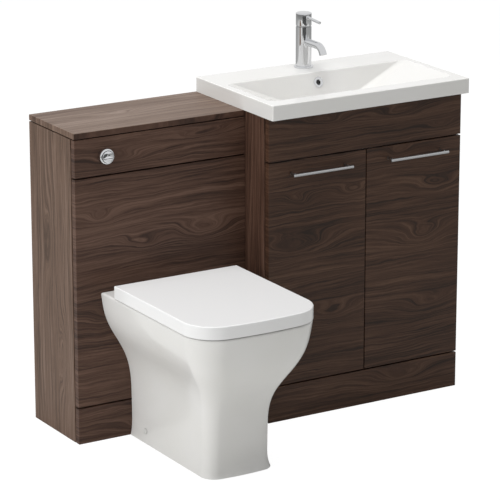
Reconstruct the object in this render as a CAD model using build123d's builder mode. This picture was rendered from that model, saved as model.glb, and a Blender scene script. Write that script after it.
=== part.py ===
from build123d import *

import os

os.makedirs("parts", exist_ok=True)

# Frame: millimetres, +Z up, +Y towards the wall, +X to the right.
# The origin is at floor level, on the wall, where the two cabinets meet.

# ---------------------------------------------------------------- cabinets
board = 18.0
board_edge = 0.8
nut_sides = 6
cabinet_height = 824.0
worktop_board = 15.0
top_groove = 3.0
front_seat_gap = 3.0
front_joint = 4.0
front_margin = 1.0
door_joint = 3.0
fascia_drop = 118.0
plinth_line = 98.0
rail_width = 60.0
joint_rail_width = 44.0
front_rail_width = 46.0
wc_width = 500.0
wc_side_depth = 225.0
vanity_width = 600.0
back_rail_height = 90.0

# ---------------------------------------------------------------- basin
basin_width = 610.0
basin_depth = 389.0
basin_overhang = 28.0
basin_edge = 40.0
basin_corner = 4.0
basin_top_round = 2.5
basin_wall = 10.0
basin_skirt = 12.0
bowl_side_rim = 21.0
bowl_back = 115.0
bowl_front_rim = 46.0
bowl_corner = 20.0
bowl_depth = 92.0
bowl_floor_width = 110.0
bowl_floor_back_run = 34.0
bowl_floor_front_run = 30.0
bowl_floor_corner = 18.0
bowl_floor_thickness = 12.0
bowl_lip_round = 5.0
waste_boss_radius = 36.0
waste_boss_height = 16.0
waste_hole = 22.5
overflow_drop = 27.0
overflow_hole = 8.0
overflow_duct_width = 36.0
overflow_duct_depth = 12.0
overflow_duct_wall = 7.0
overflow_run_height = 8.0
overflow_ring_outer = 14.0
overflow_ring_inner = 6.8
overflow_ring_lip = 2.0
overflow_ring_round = 1.0
overflow_ring_depth = 9.0
overflow_reach = 20.0
fit_clearance = 0.3
running_clearance = 0.05

# ---------------------------------------------------------------- waste and trap
waste_flange_radius = 32.0
waste_flange_height = 2.5
waste_barrel_radius = 20.9
waste_barrel_wall = 2.4
waste_barrel_length = 84.0
waste_slot_width = 14.0
waste_flange_round = 1.0
waste_spider_height = 4.0
waste_spider_drop = 40.0
waste_spider_half = 3.0
waste_spider_wall = 3.0
waste_stem_radius = 3.5
plug_radius = 29.0
plug_height = 5.0
plug_round = 2.0
plug_gap = 0.5
plug_stem_length = 56.0
waste_nut_radius = 31.0
waste_nut_height = 14.0
trap_nut_radius = 27.0
trap_nut_height = 18.0
trap_nut_overlap = 10.0
trap_inlet_radius = 16.0
trap_inlet_length = 48.0
trap_dip_length = 66.0
trap_body_radius = 32.0
trap_body_height = 96.0
trap_wall = 2.6
trap_round = 6.0
trap_outlet_radius = 16.0
trap_outlet_drop = 20.0
trap_socket_radius = 22.0
trap_socket_length = 26.0
trap_pipe_overlap = 14.0
trap_washer_radius = 19.0
trap_washer_height = 3.0

# ---------------------------------------------------------------- tap
tap_from_wall = 50.0
tap_hole = 17.5
tap_radius = 21.0
tap_height = 150.0
tap_base_radius = 26.0
tap_base_height = 5.0
tap_base_round = 1.6
tap_wall = 3.0
tap_cap_height = 35.0
tap_collar_radius = 19.6
tap_collar_height = 3.0
tap_collar_bore = 13.0
tap_joint_gap = 0.3
tap_cap_round = 3.0
tap_cap_wall = 4.0
tap_cap_cavity = 17.0
tap_floor = 8.0
tap_cartridge_height = 31.0
tap_spindle_radius = 9.0
tap_spindle_height = 9.0
spout_height = 72.0
spout_radius = 10.0
spout_bore = 7.0
spout_straight = 70.0
spout_bend_radius = 28.0
spout_bend_angle = 70.0
spout_nose = 3.0
aerator_holes = 6
aerator_hole_radius = 1.1
aerator_hole_ring = 4.2
lever_radius = 4.0
lever_length = 60.0
lever_below_top = 10.5
lever_seat = 9.0
lever_droop = 4.0
lever_end_round = 1.0
tap_stud_radius = 4.0
tap_stud_length = 62.0
tap_washer_radius = 25.0
tap_washer_height = 4.0
tap_nut_radius = 8.0
tap_nut_height = 8.0
tap_stud_offset = 11.0
tap_inlet_radius = 4.5
tap_inlet_offset = 9.5
tap_inlet_clearance = 1.0

# ---------------------------------------------------------------- doors
handle_length = 183.0
handle_radius = 4.0
handle_post_radius = 3.4
handle_post_inset = 9.0
handle_standoff = 28.0
handle_below_top = 32.0
handle_round = 1.0
handle_screw_radius = 2.0
handle_screw_head = 4.0
handle_screw_head_height = 2.2
handle_screw_bite = 10.0
hinge_from_edge = 6.8
hinge_from_face = 9.0
hinge_cup_radius = 13.0
hinge_cup_wall = 1.0
hinge_cup_floor = 1.0
hinge_cup_from_edge = 15.2
hinge_eye_radius = 2.6
hinge_pin_radius = 1.5
hinge_pin_length = 18.8
hinge_arm_height = 8.0
hinge_arm_thickness = 3.0
hinge_arm_tail = 52.0
hinge_plate_thickness = 3.5
hinge_plate_height = 40.0
hinge_plate_length = 34.0
hinge_plate_setback = 8.0
hinge_cup_wing = 24.0
hinge_cup_wing_inset = 5.0
hinge_from_end = 90.0

# ---------------------------------------------------------------- flush button
button_from_left = 88.0
button_radius = 21.5
button_projection = 15.0
button_round = 4.0
button_barrel_radius = 17.0
button_barrel_length = 26.0
button_bore = 15.6
button_bore_depth = 22.0
button_gap = 0.4
button_key_depth = 14.0
button_key_proud = 3.0
button_key_round = 1.2
button_split_gap = 0.8
button_split_offset = 4.5
button_nut_radius = 23.0
button_nut_height = 6.0
button_nipple_radius = 3.0
button_nipple_length = 9.0
button_nipple_offset = 7.0

# ---------------------------------------------------------------- cistern
cistern_side_gap = 42.0
cistern_headroom = 29.0
cistern_depth = 130.0
cistern_wall = 4.0
cistern_corner = 16.0
cistern_from_wall = 22.0
cistern_lid_height = 10.0
cistern_lid_lip = 3.0
shelf_depth = 150.0
flush_tail_radius = 26.0
flush_tail_bore = 20.0
flush_tail_length = 40.0
flush_seat_radius = 40.0
flush_seat_height = 10.0
flush_tower_radius = 32.0
flush_headroom = 78.0
flush_top_radius = 24.0
flush_top_height = 70.0
fill_from_side = 40.0
fill_neck_radius = 12.0
fill_tail_radius = 10.5
fill_tail_length = 46.0
fill_tail_bore = 5.0
fill_seat_radius = 17.0
fill_seat_height = 5.0
fill_tower_radius = 13.0
fill_headroom = 88.0
fill_float_radius = 30.0
fill_float_height = 80.0
fill_float_lift = 50.0
flush_pipe_radius = 20.0
flush_pipe_wall = 2.0
flush_pipe_bend = 46.0
flush_drop = 100.0
flush_nut_radius = 33.0
flush_nut_height = 26.0
flush_nut_overlap = 14.0

# ---------------------------------------------------------------- pan
pan_height = 400.0
pan_wall = 11.0
pan_deck = 15.0
pan_rim_round = 5.0
flush_inlet_below_rim = 70.0
flush_inlet_radius = 27.5
flush_inlet_depth = 44.0
flush_inlet_wall = 10.0
flush_jet_radius = 16.0
soil_height = 180.0
soil_spigot_radius = 51.0
soil_bore = 42.0
soil_spigot_length = 40.0
soil_panel_gap = 4.0
connector_wall = 7.0
connector_radius = 55.0
connector_socket = 34.0
connector_cover = 50.0
trapway_wall = 9.0
pan_fixing_height = 32.0
pan_fixing_from_face = 74.0
bracket_gap = 0.5
pan_screw_bite = 14.0
pan_cap_stem = 4.0
pan_fixing_hole = 3.6
pan_screw_radius = 3.0
pan_cap_radius = 8.0
pan_cap_height = 2.0
pan_bracket_width = 30.0
pan_bracket_length = 36.0
pan_bracket_plate = 4.0
pan_bracket_block = 18.0
pan_bracket_height = 44.0
pan_bracket_hole = 3.5
pan_bracket_hole_inset = 10.0
rim_half_width = 180.0
rim_reach = 509.0
rim_bow = 16.0
rim_corner = 88.0

# Lengths of the pan, seat and lid run forwards from the face of the toilet's cabinet.
# Outer outline of the pan: height, half width, set-back of the front behind the rim's front,
# bow of the front, corner radius.
pan_outline = [
    (0.0, 98.5, 105.0, 8.0, 38.0),
    (60.0, 93.5, 112.0, 8.0, 38.0),
    (125.0, 94.5, 110.0, 8.0, 40.0),
    (185.0, 100.0, 95.0, 9.0, 46.0),
    (240.0, 119.0, 61.0, 11.0, 56.0),
    (300.0, 153.0, 25.0, 13.0, 68.0),
    (355.0, 173.0, 8.0, 15.0, 80.0),
    (pan_height, rim_half_width, 0.0, rim_bow, rim_corner),
]
# Inside of the bowl: height, half width, run to its back, run to its front as a share of the
# rim's reach, corner radius.
bowl_outline = [
    (pan_height, 138.0, 106.0, 0.935, 100.0),
    (330.0, 128.0, 110.0, 0.904, 98.0),
    (260.0, 100.0, 126.0, 0.813, 84.0),
    (200.0, 66.0, 150.0, 0.656, 60.0),
    (150.0, 46.0, 158.0, 0.538, 42.0),
]
# Centre line of the trapway: run and height.
trapway_line = [(206.0, 188.0), (146.0, 236.0), (84.0, 206.0), (44.0, 180.0)]

# ---------------------------------------------------------------- seat and lid
seat_inset = 8.0
seat_lift = 6.0
seat_thickness = 18.0
seat_round = 5.0
seat_back = 100.0
seat_opening_half = 112.0
seat_opening_back = 158.0
seat_front_band = 57.0
seat_opening_corner = 96.0
lid_overhang = 2.0
lid_back = 72.0
lid_lift = 3.0
lid_height = 33.0
lid_wall = 4.0
lid_round = 3.0
buffer_radius = 7.0
buffer_gap = 0.3
buffer_side = 152.0
buffer_rear = 174.0
buffer_front_side = 90.0
buffer_from_front = 27.0
hinge_axis_run = 79.0
hinge_axis_lift = 23.0
post_offset = 78.0
post_width = 22.0
post_barrel_radius = 6.0
post_plate_width = 44.0
post_plate_depth = 34.0
post_plate_height = 4.0
post_stub_radius = 3.0
post_stub_length = 9.0
ear_gap = 0.4
ear_width = 8.0
ear_root = 12.0
seat_bolt_radius = 3.0
seat_bolt_length = 46.0
seat_bolt_head_radius = 4.8
seat_bolt_head_height = 3.0
seat_nut_radius = 10.0
seat_nut_height = 8.0
seat_bolt_offset = 17.0

# ---------------------------------------------------------------- derived places
wc_left = -wc_width
wc_seat = -(wc_side_depth + front_seat_gap)
wc_face = wc_seat - board
vanity_face = -(basin_depth - basin_overhang)
vanity_seat = vanity_face + board
vanity_side_depth = -vanity_seat - front_seat_gap
wc_side_top = cabinet_height - worktop_board - top_groove
fascia_line = cabinet_height - fascia_drop
fascia_bottom = fascia_line + front_joint / 2
door_top = fascia_line - front_joint / 2
door_bottom = plinth_line + front_joint / 2
plinth_top = plinth_line - front_joint / 2
door_middle = vanity_width / 2
basin_top = cabinet_height + basin_edge
basin_left = door_middle - basin_width / 2
basin_right = door_middle + basin_width / 2
bowl_floor = basin_top - bowl_depth
bowl_underside = bowl_floor - bowl_floor_thickness
waste_boss_bottom = bowl_underside - waste_boss_height
bowl_front = basin_depth - bowl_front_rim
bowl_centre = -(bowl_back + bowl_front) / 2
floor_back = bowl_back + bowl_floor_back_run
floor_front = bowl_front - bowl_floor_front_run
waste_y = -(floor_back + floor_front) / 2
tap_top = basin_top + tap_height
button_x = wc_left + button_from_left
button_height = (fascia_bottom + wc_side_top) / 2
pan_centre = -wc_width / 2
flush_inlet_height = pan_height - flush_inlet_below_rim
cistern_y = -(cistern_from_wall + cistern_depth / 2)
cistern_width = wc_width - 2 * (board + cistern_side_gap)
cistern_bottom = flush_inlet_height + flush_drop
cistern_top = cabinet_height - worktop_board - board - cistern_headroom - cistern_lid_height
cistern_height = cistern_top - cistern_bottom
fill_x = pan_centre - cistern_width / 2 + fill_from_side
pan_fixing_y = wc_face - pan_fixing_from_face
_, foot_width, *_ = pan_outline[0]
ankle_height, ankle_width, *_ = pan_outline[1]
foot_half = foot_width + (ankle_width - foot_width) * pan_fixing_height / ankle_height
bracket_face = ankle_width - pan_wall - bracket_gap
_, _, inlet_run, *_ = bowl_outline[1]
inlet_wall = wc_face - inlet_run
seat_bottom = pan_height + seat_lift
lid_bottom = pan_height + lid_lift
lid_top = lid_bottom + lid_height
lid_front = rim_reach + lid_overhang
hinge_axis_y = wc_face - hinge_axis_run
hinge_axis_z = pan_height + hinge_axis_lift
centre_low = (Align.CENTER, Align.CENTER, Align.MIN)


def slab(x0, x1, y0, y1, z0, z1, mode=Mode.ADD):
    """Rectangular block between two opposite corners, in the part being built."""
    with Locations(((x0 + x1) / 2, (y0 + y1) / 2, (z0 + z1) / 2)):
        Box(x1 - x0, y1 - y0, z1 - z0, mode=mode)


def rod(radius, start, end, mode=Mode.ADD):
    """Round rod from one point to another, in the part being built."""
    run = Vector(*end) - Vector(*start)
    with Locations(Plane(origin=start, z_dir=run)):
        Cylinder(radius, run.length, align=centre_low, mode=mode)


def tube(outer, inner, start, end):
    """Round tube from one point to another, in the part being built."""
    rod(outer, start, end)
    rod(inner, start, end, mode=Mode.SUBTRACT)


def bowed_outline(height, half_width, back, front, bow, corner):
    """Flat face: straight back and sides, a front that bows out, round front corners.

    The back and the front are runs from the cabinet's face.
    """
    with BuildSketch(Plane.XY.offset(height)) as outline:
        with BuildLine():
            left = pan_centre - half_width
            right = pan_centre + half_width
            rear = wc_face - back
            shoulder = wc_face - front + bow
            Polyline((left, shoulder), (left, rear), (right, rear), (right, shoulder))
            ThreePointArc((right, shoulder), (pan_centre, wc_face - front), (left, shoulder))
        make_face()
        fillet(outline.vertices().group_by(Axis.Y)[0], corner)
    return outline.sketch


def bowl_ring(height, half_width, back, front, corner, grow=0.0):
    """Rounded rectangle of the toilet's bowl at one height, grown outwards by a wall."""
    with BuildSketch(Plane.XY.offset(height)) as ring:
        with Locations((pan_centre, wc_face - (back + front) / 2)):
            RectangleRounded(2 * (half_width + grow), front - back + 2 * grow, corner + grow)
    return ring.sketch


def save(part, name):
    """Label a finished piece and write its STEP file."""
    part.label = name
    export_step(part, f"parts/{name}.step")


# ================================================================ WC unit
for name, x0, x1 in (
    ("wc_side_left", wc_left, wc_left + board),
    ("wc_side_right", -board, 0.0),
):
    with BuildPart() as wc_side:
        slab(x0, x1, -wc_side_depth, 0.0, 0.0, wc_side_top)
        fillet(wc_side.edges(), board_edge)
    save(wc_side.part, name)

with BuildPart() as wc_worktop:
    slab(wc_left, 0.0, wc_face, 0.0, cabinet_height - worktop_board, cabinet_height)
    fillet(wc_worktop.edges(), board_edge)
save(wc_worktop.part, "wc_worktop")

with BuildPart() as wc_crossboards:
    rail_left = wc_left + board
    rail_right = -board
    rail_top = cabinet_height - worktop_board
    slab(rail_left, rail_right, wc_seat, wc_seat + rail_width, rail_top - board, rail_top)
    slab(rail_left, rail_right, -rail_width, 0.0, rail_top - board, rail_top)
    for line in (fascia_line, plinth_line):
        low, high = line - joint_rail_width / 2, line + joint_rail_width / 2
        slab(rail_left, rail_right, wc_seat, wc_seat + board, low, high)
    slab(rail_left, rail_right, -shelf_depth, 0.0, cistern_bottom - board, cistern_bottom)
    for x, hole in ((pan_centre, flush_seat_radius), (fill_x, fill_seat_radius)):
        foot = (x, cistern_y, cistern_bottom - board)
        rod(hole, foot, (x, cistern_y, cistern_bottom), mode=Mode.SUBTRACT)
save(wc_crossboards.part, "wc_crossboards")

with BuildPart() as wc_fascia:
    slab(wc_left + front_margin, -front_margin, wc_face, wc_seat, fascia_bottom, wc_side_top)
    fillet(wc_fascia.edges(), board_edge)
    hole_start = (button_x, wc_face, button_height)
    hole_end = (button_x, wc_seat, button_height)
    rod(button_barrel_radius + fit_clearance, hole_start, hole_end, mode=Mode.SUBTRACT)
save(wc_fascia.part, "wc_fascia")

with BuildPart() as wc_front_panel:
    slab(wc_left + front_margin, -front_margin, wc_face, wc_seat, door_bottom, door_top)
    fillet(wc_front_panel.edges(), board_edge)
    for height, hole in (
        (flush_inlet_height, flush_inlet_radius + fit_clearance),
        (soil_height, soil_spigot_radius + connector_wall + soil_panel_gap),
    ):
        rod(hole, (pan_centre, wc_face, height), (pan_centre, wc_seat, height), mode=Mode.SUBTRACT)
save(wc_front_panel.part, "wc_front_panel")

with BuildPart() as wc_plinth:
    slab(wc_left + front_margin, -front_margin, wc_face, wc_seat, 0.0, plinth_top)
    fillet(wc_plinth.edges(), board_edge)
save(wc_plinth.part, "wc_plinth")

# ================================================================ cistern
with BuildPart() as cistern_tank:
    with BuildSketch(Plane.XY.offset(cistern_bottom)):
        with Locations((pan_centre, cistern_y)):
            RectangleRounded(cistern_width, cistern_depth, cistern_corner)
    extrude(amount=cistern_height)
    with BuildSketch(Plane.XY.offset(cistern_bottom + cistern_wall)):
        with Locations((pan_centre, cistern_y)):
            inner_width = cistern_width - 2 * cistern_wall
            inner_depth = cistern_depth - 2 * cistern_wall
            RectangleRounded(inner_width, inner_depth, cistern_corner - cistern_wall)
    extrude(amount=cistern_height, mode=Mode.SUBTRACT)
    for x, neck in ((pan_centre, flush_tail_radius), (fill_x, fill_neck_radius)):
        hole_top = (x, cistern_y, cistern_bottom + cistern_wall)
        rod(neck + fit_clearance, (x, cistern_y, cistern_bottom), hole_top, mode=Mode.SUBTRACT)
save(cistern_tank.part, "cistern_tank")

with BuildPart() as cistern_lid:
    with BuildSketch(Plane.XY.offset(cistern_top)):
        with Locations((pan_centre, cistern_y)):
            RectangleRounded(cistern_width, cistern_depth, cistern_corner)
    extrude(amount=cistern_lid_height)
    with BuildSketch(Plane.XY.offset(cistern_top)):
        with Locations((pan_centre, cistern_y)):
            lip_inset = cistern_wall + fit_clearance
            RectangleRounded(
                cistern_width - 2 * lip_inset, cistern_depth - 2 * lip_inset, cistern_corner - lip_inset
            )
    extrude(amount=-cistern_lid_lip)
save(cistern_lid.part, "cistern_lid")

with BuildPart() as flush_valve:
    valve_seat = cistern_bottom + cistern_wall
    tower_foot = valve_seat + flush_seat_height
    tower_top = cistern_top - flush_headroom - flush_top_height
    valve_tail = cistern_bottom - flush_tail_length
    tail_end = (pan_centre, cistern_y, valve_tail)
    seat_top_centre = (pan_centre, cistern_y, tower_foot)
    rod(flush_tail_radius, tail_end, (pan_centre, cistern_y, valve_seat))
    rod(flush_seat_radius, (pan_centre, cistern_y, valve_seat), seat_top_centre)
    rod(flush_tower_radius, seat_top_centre, (pan_centre, cistern_y, tower_top))
    column_top = (pan_centre, cistern_y, tower_top + flush_top_height)
    rod(flush_top_radius, (pan_centre, cistern_y, tower_top), column_top)
    rod(flush_tail_bore, tail_end, seat_top_centre, mode=Mode.SUBTRACT)
save(flush_valve.part, "flush_valve")

with BuildPart() as fill_valve:
    fill_top = cistern_top - fill_headroom
    fill_tail = (fill_x, cistern_y, cistern_bottom - fill_tail_length)
    fill_neck = (fill_x, cistern_y, cistern_bottom)
    fill_foot = (fill_x, cistern_y, valve_seat)
    rod(fill_tail_radius, fill_tail, fill_neck)
    rod(fill_neck_radius, fill_neck, fill_foot)
    rod(fill_seat_radius, fill_foot, (fill_x, cistern_y, valve_seat + fill_seat_height))
    rod(fill_tower_radius, fill_foot, (fill_x, cistern_y, fill_top))
    float_foot = (fill_x, cistern_y, valve_seat + fill_float_lift)
    float_top = (fill_x, cistern_y, valve_seat + fill_float_lift + fill_float_height)
    rod(fill_float_radius, float_foot, float_top)
    rod(fill_tail_bore, fill_tail, fill_foot, mode=Mode.SUBTRACT)
save(fill_valve.part, "fill_valve")

with BuildPart() as flush_pipe:
    pipe_end = wc_face - flush_inlet_depth
    with BuildLine() as pipe_path:
        FilletPolyline(
            (pan_centre, cistern_y, valve_tail),
            (pan_centre, cistern_y, flush_inlet_height),
            (pan_centre, pipe_end, flush_inlet_height),
            radius=flush_pipe_bend,
        )
    with BuildSketch(Plane(origin=pipe_path.line @ 0, z_dir=pipe_path.line % 0)):
        Circle(flush_pipe_radius)
        Circle(flush_pipe_radius - flush_pipe_wall, mode=Mode.SUBTRACT)
    sweep()
    # coupling nut on the valve's tail, formed with the pipe's flange
    coupling_top = valve_tail + flush_nut_overlap
    with BuildSketch(Plane.XY.offset(coupling_top - flush_nut_height)):
        with Locations((pan_centre, cistern_y)):
            RegularPolygon(flush_nut_radius, nut_sides)
            Circle(flush_pipe_radius, mode=Mode.SUBTRACT)
    extrude(amount=flush_nut_height)
    rod(flush_tail_radius, tail_end, (pan_centre, cistern_y, coupling_top), mode=Mode.SUBTRACT)
save(flush_pipe.part, "flush_pipe")

with BuildPart() as flush_cone:
    cone_start = (pan_centre, wc_face, flush_inlet_height)
    cone_end = (pan_centre, pipe_end, flush_inlet_height)
    tube(flush_inlet_radius, flush_pipe_radius, cone_start, cone_end)
save(flush_cone.part, "flush_cone")

with BuildPart() as pan_connector:
    spigot_end = wc_face + soil_spigot_length
    socket_start = spigot_end - connector_socket
    socket_end = socket_start + connector_cover
    socket_mouth = (pan_centre, socket_start, soil_height)
    socket_shoulder = (pan_centre, socket_end, soil_height)
    wall_end = (pan_centre, 0.0, soil_height)
    rod(soil_spigot_radius + connector_wall, socket_mouth, socket_shoulder)
    rod(connector_radius, socket_shoulder, wall_end)
    rod(soil_spigot_radius, socket_mouth, (pan_centre, spigot_end, soil_height), mode=Mode.SUBTRACT)
    rod(connector_radius - connector_wall, socket_mouth, wall_end, mode=Mode.SUBTRACT)
save(pan_connector.part, "pan_connector")

# ================================================================ flush button
button_face = wc_face - button_projection
with BuildPart() as button_housing:
    rod(button_radius, (button_x, wc_face, button_height), (button_x, button_face, button_height))
    fillet(button_housing.edges().sort_by(Axis.Y)[0], button_round)
    barrel_end = wc_face + button_barrel_length
    rod(button_barrel_radius, (button_x, wc_face, button_height), (button_x, barrel_end, button_height))
    bore_end = (button_x, button_face + button_bore_depth, button_height)
    rod(button_bore, (button_x, button_face, button_height), bore_end, mode=Mode.SUBTRACT)
    for side in (-button_nipple_offset, button_nipple_offset):
        nipple_end = (button_x + side, barrel_end + button_nipple_length, button_height)
        rod(button_nipple_radius, (button_x + side, barrel_end, button_height), nipple_end)
save(button_housing.part, "button_housing")

with BuildPart() as button_nut:
    with BuildSketch(Plane(origin=(button_x, wc_seat, button_height), z_dir=(0, 1, 0))):
        RegularPolygon(button_nut_radius, nut_sides)
        Circle(button_barrel_radius, mode=Mode.SUBTRACT)
    extrude(amount=button_nut_height)
save(button_nut.part, "button_nut")

key_radius = button_bore - button_gap
key_front = button_face - button_key_proud
key_back = key_front + button_key_depth
split_low = button_height - button_split_offset - button_split_gap / 2
split_high = button_height - button_split_offset + button_split_gap / 2
key_left = button_x - button_radius
key_right = button_x + button_radius
for name, low, high in (
    ("button_full_flush", split_high, button_height + button_radius),
    ("button_half_flush", button_height - button_radius, split_low),
):
    with BuildPart() as button_key:
        rod(key_radius, (button_x, key_front, button_height), (button_x, key_back, button_height))
        slab(key_left, key_right, key_front, key_back, low, high, mode=Mode.INTERSECT)
        fillet(button_key.faces().sort_by(Axis.Y)[0].edges(), button_key_round)
    save(button_key.part, name)

# ================================================================ pan
with BuildPart() as pan:
    for height, half_width, set_back, bow, corner in pan_outline:
        add(bowed_outline(height, half_width, 0.0, rim_reach - set_back, bow, corner))
    loft()
    rim = pan.faces().sort_by(Axis.Z)[-1]
    fillet(rim.edges(), pan_rim_round)
    for height, half_width, set_back, bow, corner in pan_outline:
        level = min(height, pan_height - pan_deck)
        inner_half = half_width - pan_wall
        inner_front = rim_reach - set_back - pan_wall
        add(bowed_outline(level, inner_half, pan_wall, inner_front, bow, corner - pan_wall))
    loft(mode=Mode.SUBTRACT)
    # bowl, flush inlet and trapway, first with their walls and then hollowed out
    for height, half_width, back, share, corner in bowl_outline:
        level = height if height == pan_height else height - pan_wall
        add(bowl_ring(level, half_width, back, share * rim_reach, corner, grow=pan_wall))
    loft()
    inlet_back = (pan_centre, wc_face, flush_inlet_height)
    rod(flush_inlet_radius + flush_inlet_wall, inlet_back, (pan_centre, inlet_wall, flush_inlet_height))
    trapway = [(pan_centre, wc_face - run, height) for run, height in trapway_line]
    trapway.append((pan_centre, wc_face, soil_height))
    for start, end in zip(trapway, trapway[1:]):
        rod(soil_bore + trapway_wall, start, end)
        with Locations(start):
            Sphere(soil_bore + trapway_wall)
    spigot = (pan_centre, wc_face + soil_spigot_length, soil_height)
    rod(soil_spigot_radius, trapway[-1], spigot)
    for height, half_width, back, share, corner in bowl_outline:
        add(bowl_ring(height, half_width, back, share * rim_reach, corner))
    loft(mode=Mode.SUBTRACT)
    for start, end in zip(trapway, trapway[1:]):
        rod(soil_bore, start, end, mode=Mode.SUBTRACT)
        with Locations(start):
            Sphere(soil_bore, mode=Mode.SUBTRACT)
    rod(soil_bore, trapway[-1], spigot, mode=Mode.SUBTRACT)
    inlet_seat = (pan_centre, pipe_end, flush_inlet_height)
    rod(flush_inlet_radius, inlet_back, inlet_seat, mode=Mode.SUBTRACT)
    jet_end = (pan_centre, inlet_wall - pan_wall, flush_inlet_height)
    rod(flush_jet_radius, inlet_seat, jet_end, mode=Mode.SUBTRACT)
    for side in (-1, 1):
        bolt_x = pan_centre + side * (post_offset + seat_bolt_offset)
        deck_under = (bolt_x, hinge_axis_y, pan_height - pan_deck)
        deck_over = (bolt_x, hinge_axis_y, pan_height)
        rod(seat_bolt_radius + fit_clearance, deck_under, deck_over, mode=Mode.SUBTRACT)
        wall_out = (pan_centre + side * (foot_half + pan_wall), pan_fixing_y, pan_fixing_height)
        wall_in = (pan_centre + side * (foot_half - 2 * pan_wall), pan_fixing_y, pan_fixing_height)
        rod(pan_fixing_hole, wall_in, wall_out, mode=Mode.SUBTRACT)
save(pan.part, "pan")

# floor brackets inside the foot, with the screws that hold the pan and their caps
with BuildPart() as pan_brackets:
    for side in (-1, 1):
        near = pan_centre + side * bracket_face
        block = near - side * pan_bracket_block
        far = near - side * pan_bracket_length
        y0 = pan_fixing_y - pan_bracket_width / 2
        y1 = pan_fixing_y + pan_bracket_width / 2
        slab(min(near, block), max(near, block), y0, y1, 0.0, pan_bracket_height)
        slab(min(near, far), max(near, far), y0, y1, 0.0, pan_bracket_plate)
        screw_end = (near - side * pan_screw_bite, pan_fixing_y, pan_fixing_height)
        rod(pan_screw_radius, (near, pan_fixing_y, pan_fixing_height), screw_end, mode=Mode.SUBTRACT)
        hole_x = far + side * pan_bracket_hole_inset
        plate_top = (hole_x, pan_fixing_y, pan_bracket_plate)
        rod(pan_bracket_hole, (hole_x, pan_fixing_y, 0.0), plate_top, mode=Mode.SUBTRACT)
save(pan_brackets.part, "pan_brackets")

with BuildPart() as pan_screws:
    for side in (-1, 1):
        tip = pan_centre + side * (bracket_face - pan_screw_bite)
        head = (pan_centre + side * (foot_half - pan_cap_stem), pan_fixing_y, pan_fixing_height)
        rod(pan_screw_radius, (tip, pan_fixing_y, pan_fixing_height), head)
save(pan_screws.part, "pan_screws")

with BuildPart() as pan_screw_caps:
    for side in (-1, 1):
        skin = pan_centre + side * foot_half
        stem = (skin - side * pan_cap_stem, pan_fixing_y, pan_fixing_height)
        dome = (skin + side * pan_cap_height, pan_fixing_y, pan_fixing_height)
        rod(pan_cap_radius, (skin, pan_fixing_y, pan_fixing_height), dome)
        rod(pan_screw_radius, stem, (skin, pan_fixing_y, pan_fixing_height))
save(pan_screw_caps.part, "pan_screw_caps")

# ================================================================ seat and lid
lid_under = lid_top - lid_wall
seat_top = seat_bottom + seat_thickness
post_half = post_width / 2
with BuildPart() as hinge_posts:
    for side in (-1, 1):
        x = pan_centre + side * post_offset
        half_plate = post_plate_width / 2
        plate_back = hinge_axis_y + post_plate_depth / 2
        plate_front = hinge_axis_y - post_plate_depth / 2
        deck = pan_height + post_plate_height
        slab(x - half_plate, x + half_plate, plate_front, plate_back, pan_height, deck)
        barrel_back = hinge_axis_y + post_barrel_radius
        barrel_front = hinge_axis_y - post_barrel_radius
        slab(x - post_half, x + post_half, barrel_front, barrel_back, deck, hinge_axis_z)
        axis_left = (x - post_half, hinge_axis_y, hinge_axis_z)
        rod(post_barrel_radius, axis_left, (x + post_half, hinge_axis_y, hinge_axis_z))
        stub_left = (x - post_half - post_stub_length, hinge_axis_y, hinge_axis_z)
        stub_right = (x + post_half + post_stub_length, hinge_axis_y, hinge_axis_z)
        rod(post_stub_radius, stub_left, stub_right)
        bolt_x = x + side * seat_bolt_offset
        bolt_hole = seat_bolt_radius + fit_clearance
        rod(bolt_hole, (bolt_x, hinge_axis_y, pan_height), (bolt_x, hinge_axis_y, deck), mode=Mode.SUBTRACT)
save(hinge_posts.part, "hinge_posts")

with BuildPart() as seat_bolts:
    for side in (-1, 1):
        bolt_x = pan_centre + side * (post_offset + seat_bolt_offset)
        head_top = (bolt_x, hinge_axis_y, deck + seat_bolt_head_height)
        nut_top = (bolt_x, hinge_axis_y, pan_height - pan_deck)
        nut_foot = (bolt_x, hinge_axis_y, pan_height - pan_deck - seat_nut_height)
        rod(seat_bolt_radius, (bolt_x, hinge_axis_y, deck - seat_bolt_length), (bolt_x, hinge_axis_y, deck))
        rod(seat_bolt_head_radius, (bolt_x, hinge_axis_y, deck), head_top)
        rod(seat_nut_radius, nut_foot, nut_top)
save(seat_bolts.part, "seat_bolts")

seat_half = rim_half_width - seat_inset
seat_front = lid_front - seat_inset
seat_opening_front = seat_front - seat_front_band
seat_root = wc_face - seat_back - ear_root
with BuildPart() as seat:
    add(bowed_outline(seat_bottom, seat_half, seat_back, seat_front, rim_bow, rim_corner - seat_inset))
    extrude(amount=seat_thickness)
    with BuildSketch(Plane.XY.offset(seat_bottom)):
        with Locations((pan_centre, wc_face - (seat_opening_back + seat_opening_front) / 2)):
            opening_length = seat_opening_front - seat_opening_back
            RectangleRounded(2 * seat_opening_half, opening_length, seat_opening_corner)
    extrude(amount=seat_thickness, mode=Mode.SUBTRACT)
    fillet(seat.faces().sort_by(Axis.Z)[-1].edges(), seat_round)
    for side in (-1, 1):
        near = pan_centre + side * (post_offset - post_half - ear_gap)
        far = near - side * ear_width
        low_x, high_x = min(near, far), max(near, far)
        ear_low = hinge_axis_z - post_barrel_radius
        ear_high = hinge_axis_z + post_barrel_radius
        slab(low_x, high_x, seat_root, hinge_axis_y, ear_low, ear_high)
        ear_start = (low_x, hinge_axis_y, hinge_axis_z)
        ear_end = (high_x, hinge_axis_y, hinge_axis_z)
        rod(post_barrel_radius, ear_start, ear_end)
        rod(post_stub_radius + running_clearance, ear_start, ear_end, mode=Mode.SUBTRACT)
save(seat.part, "seat")

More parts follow.
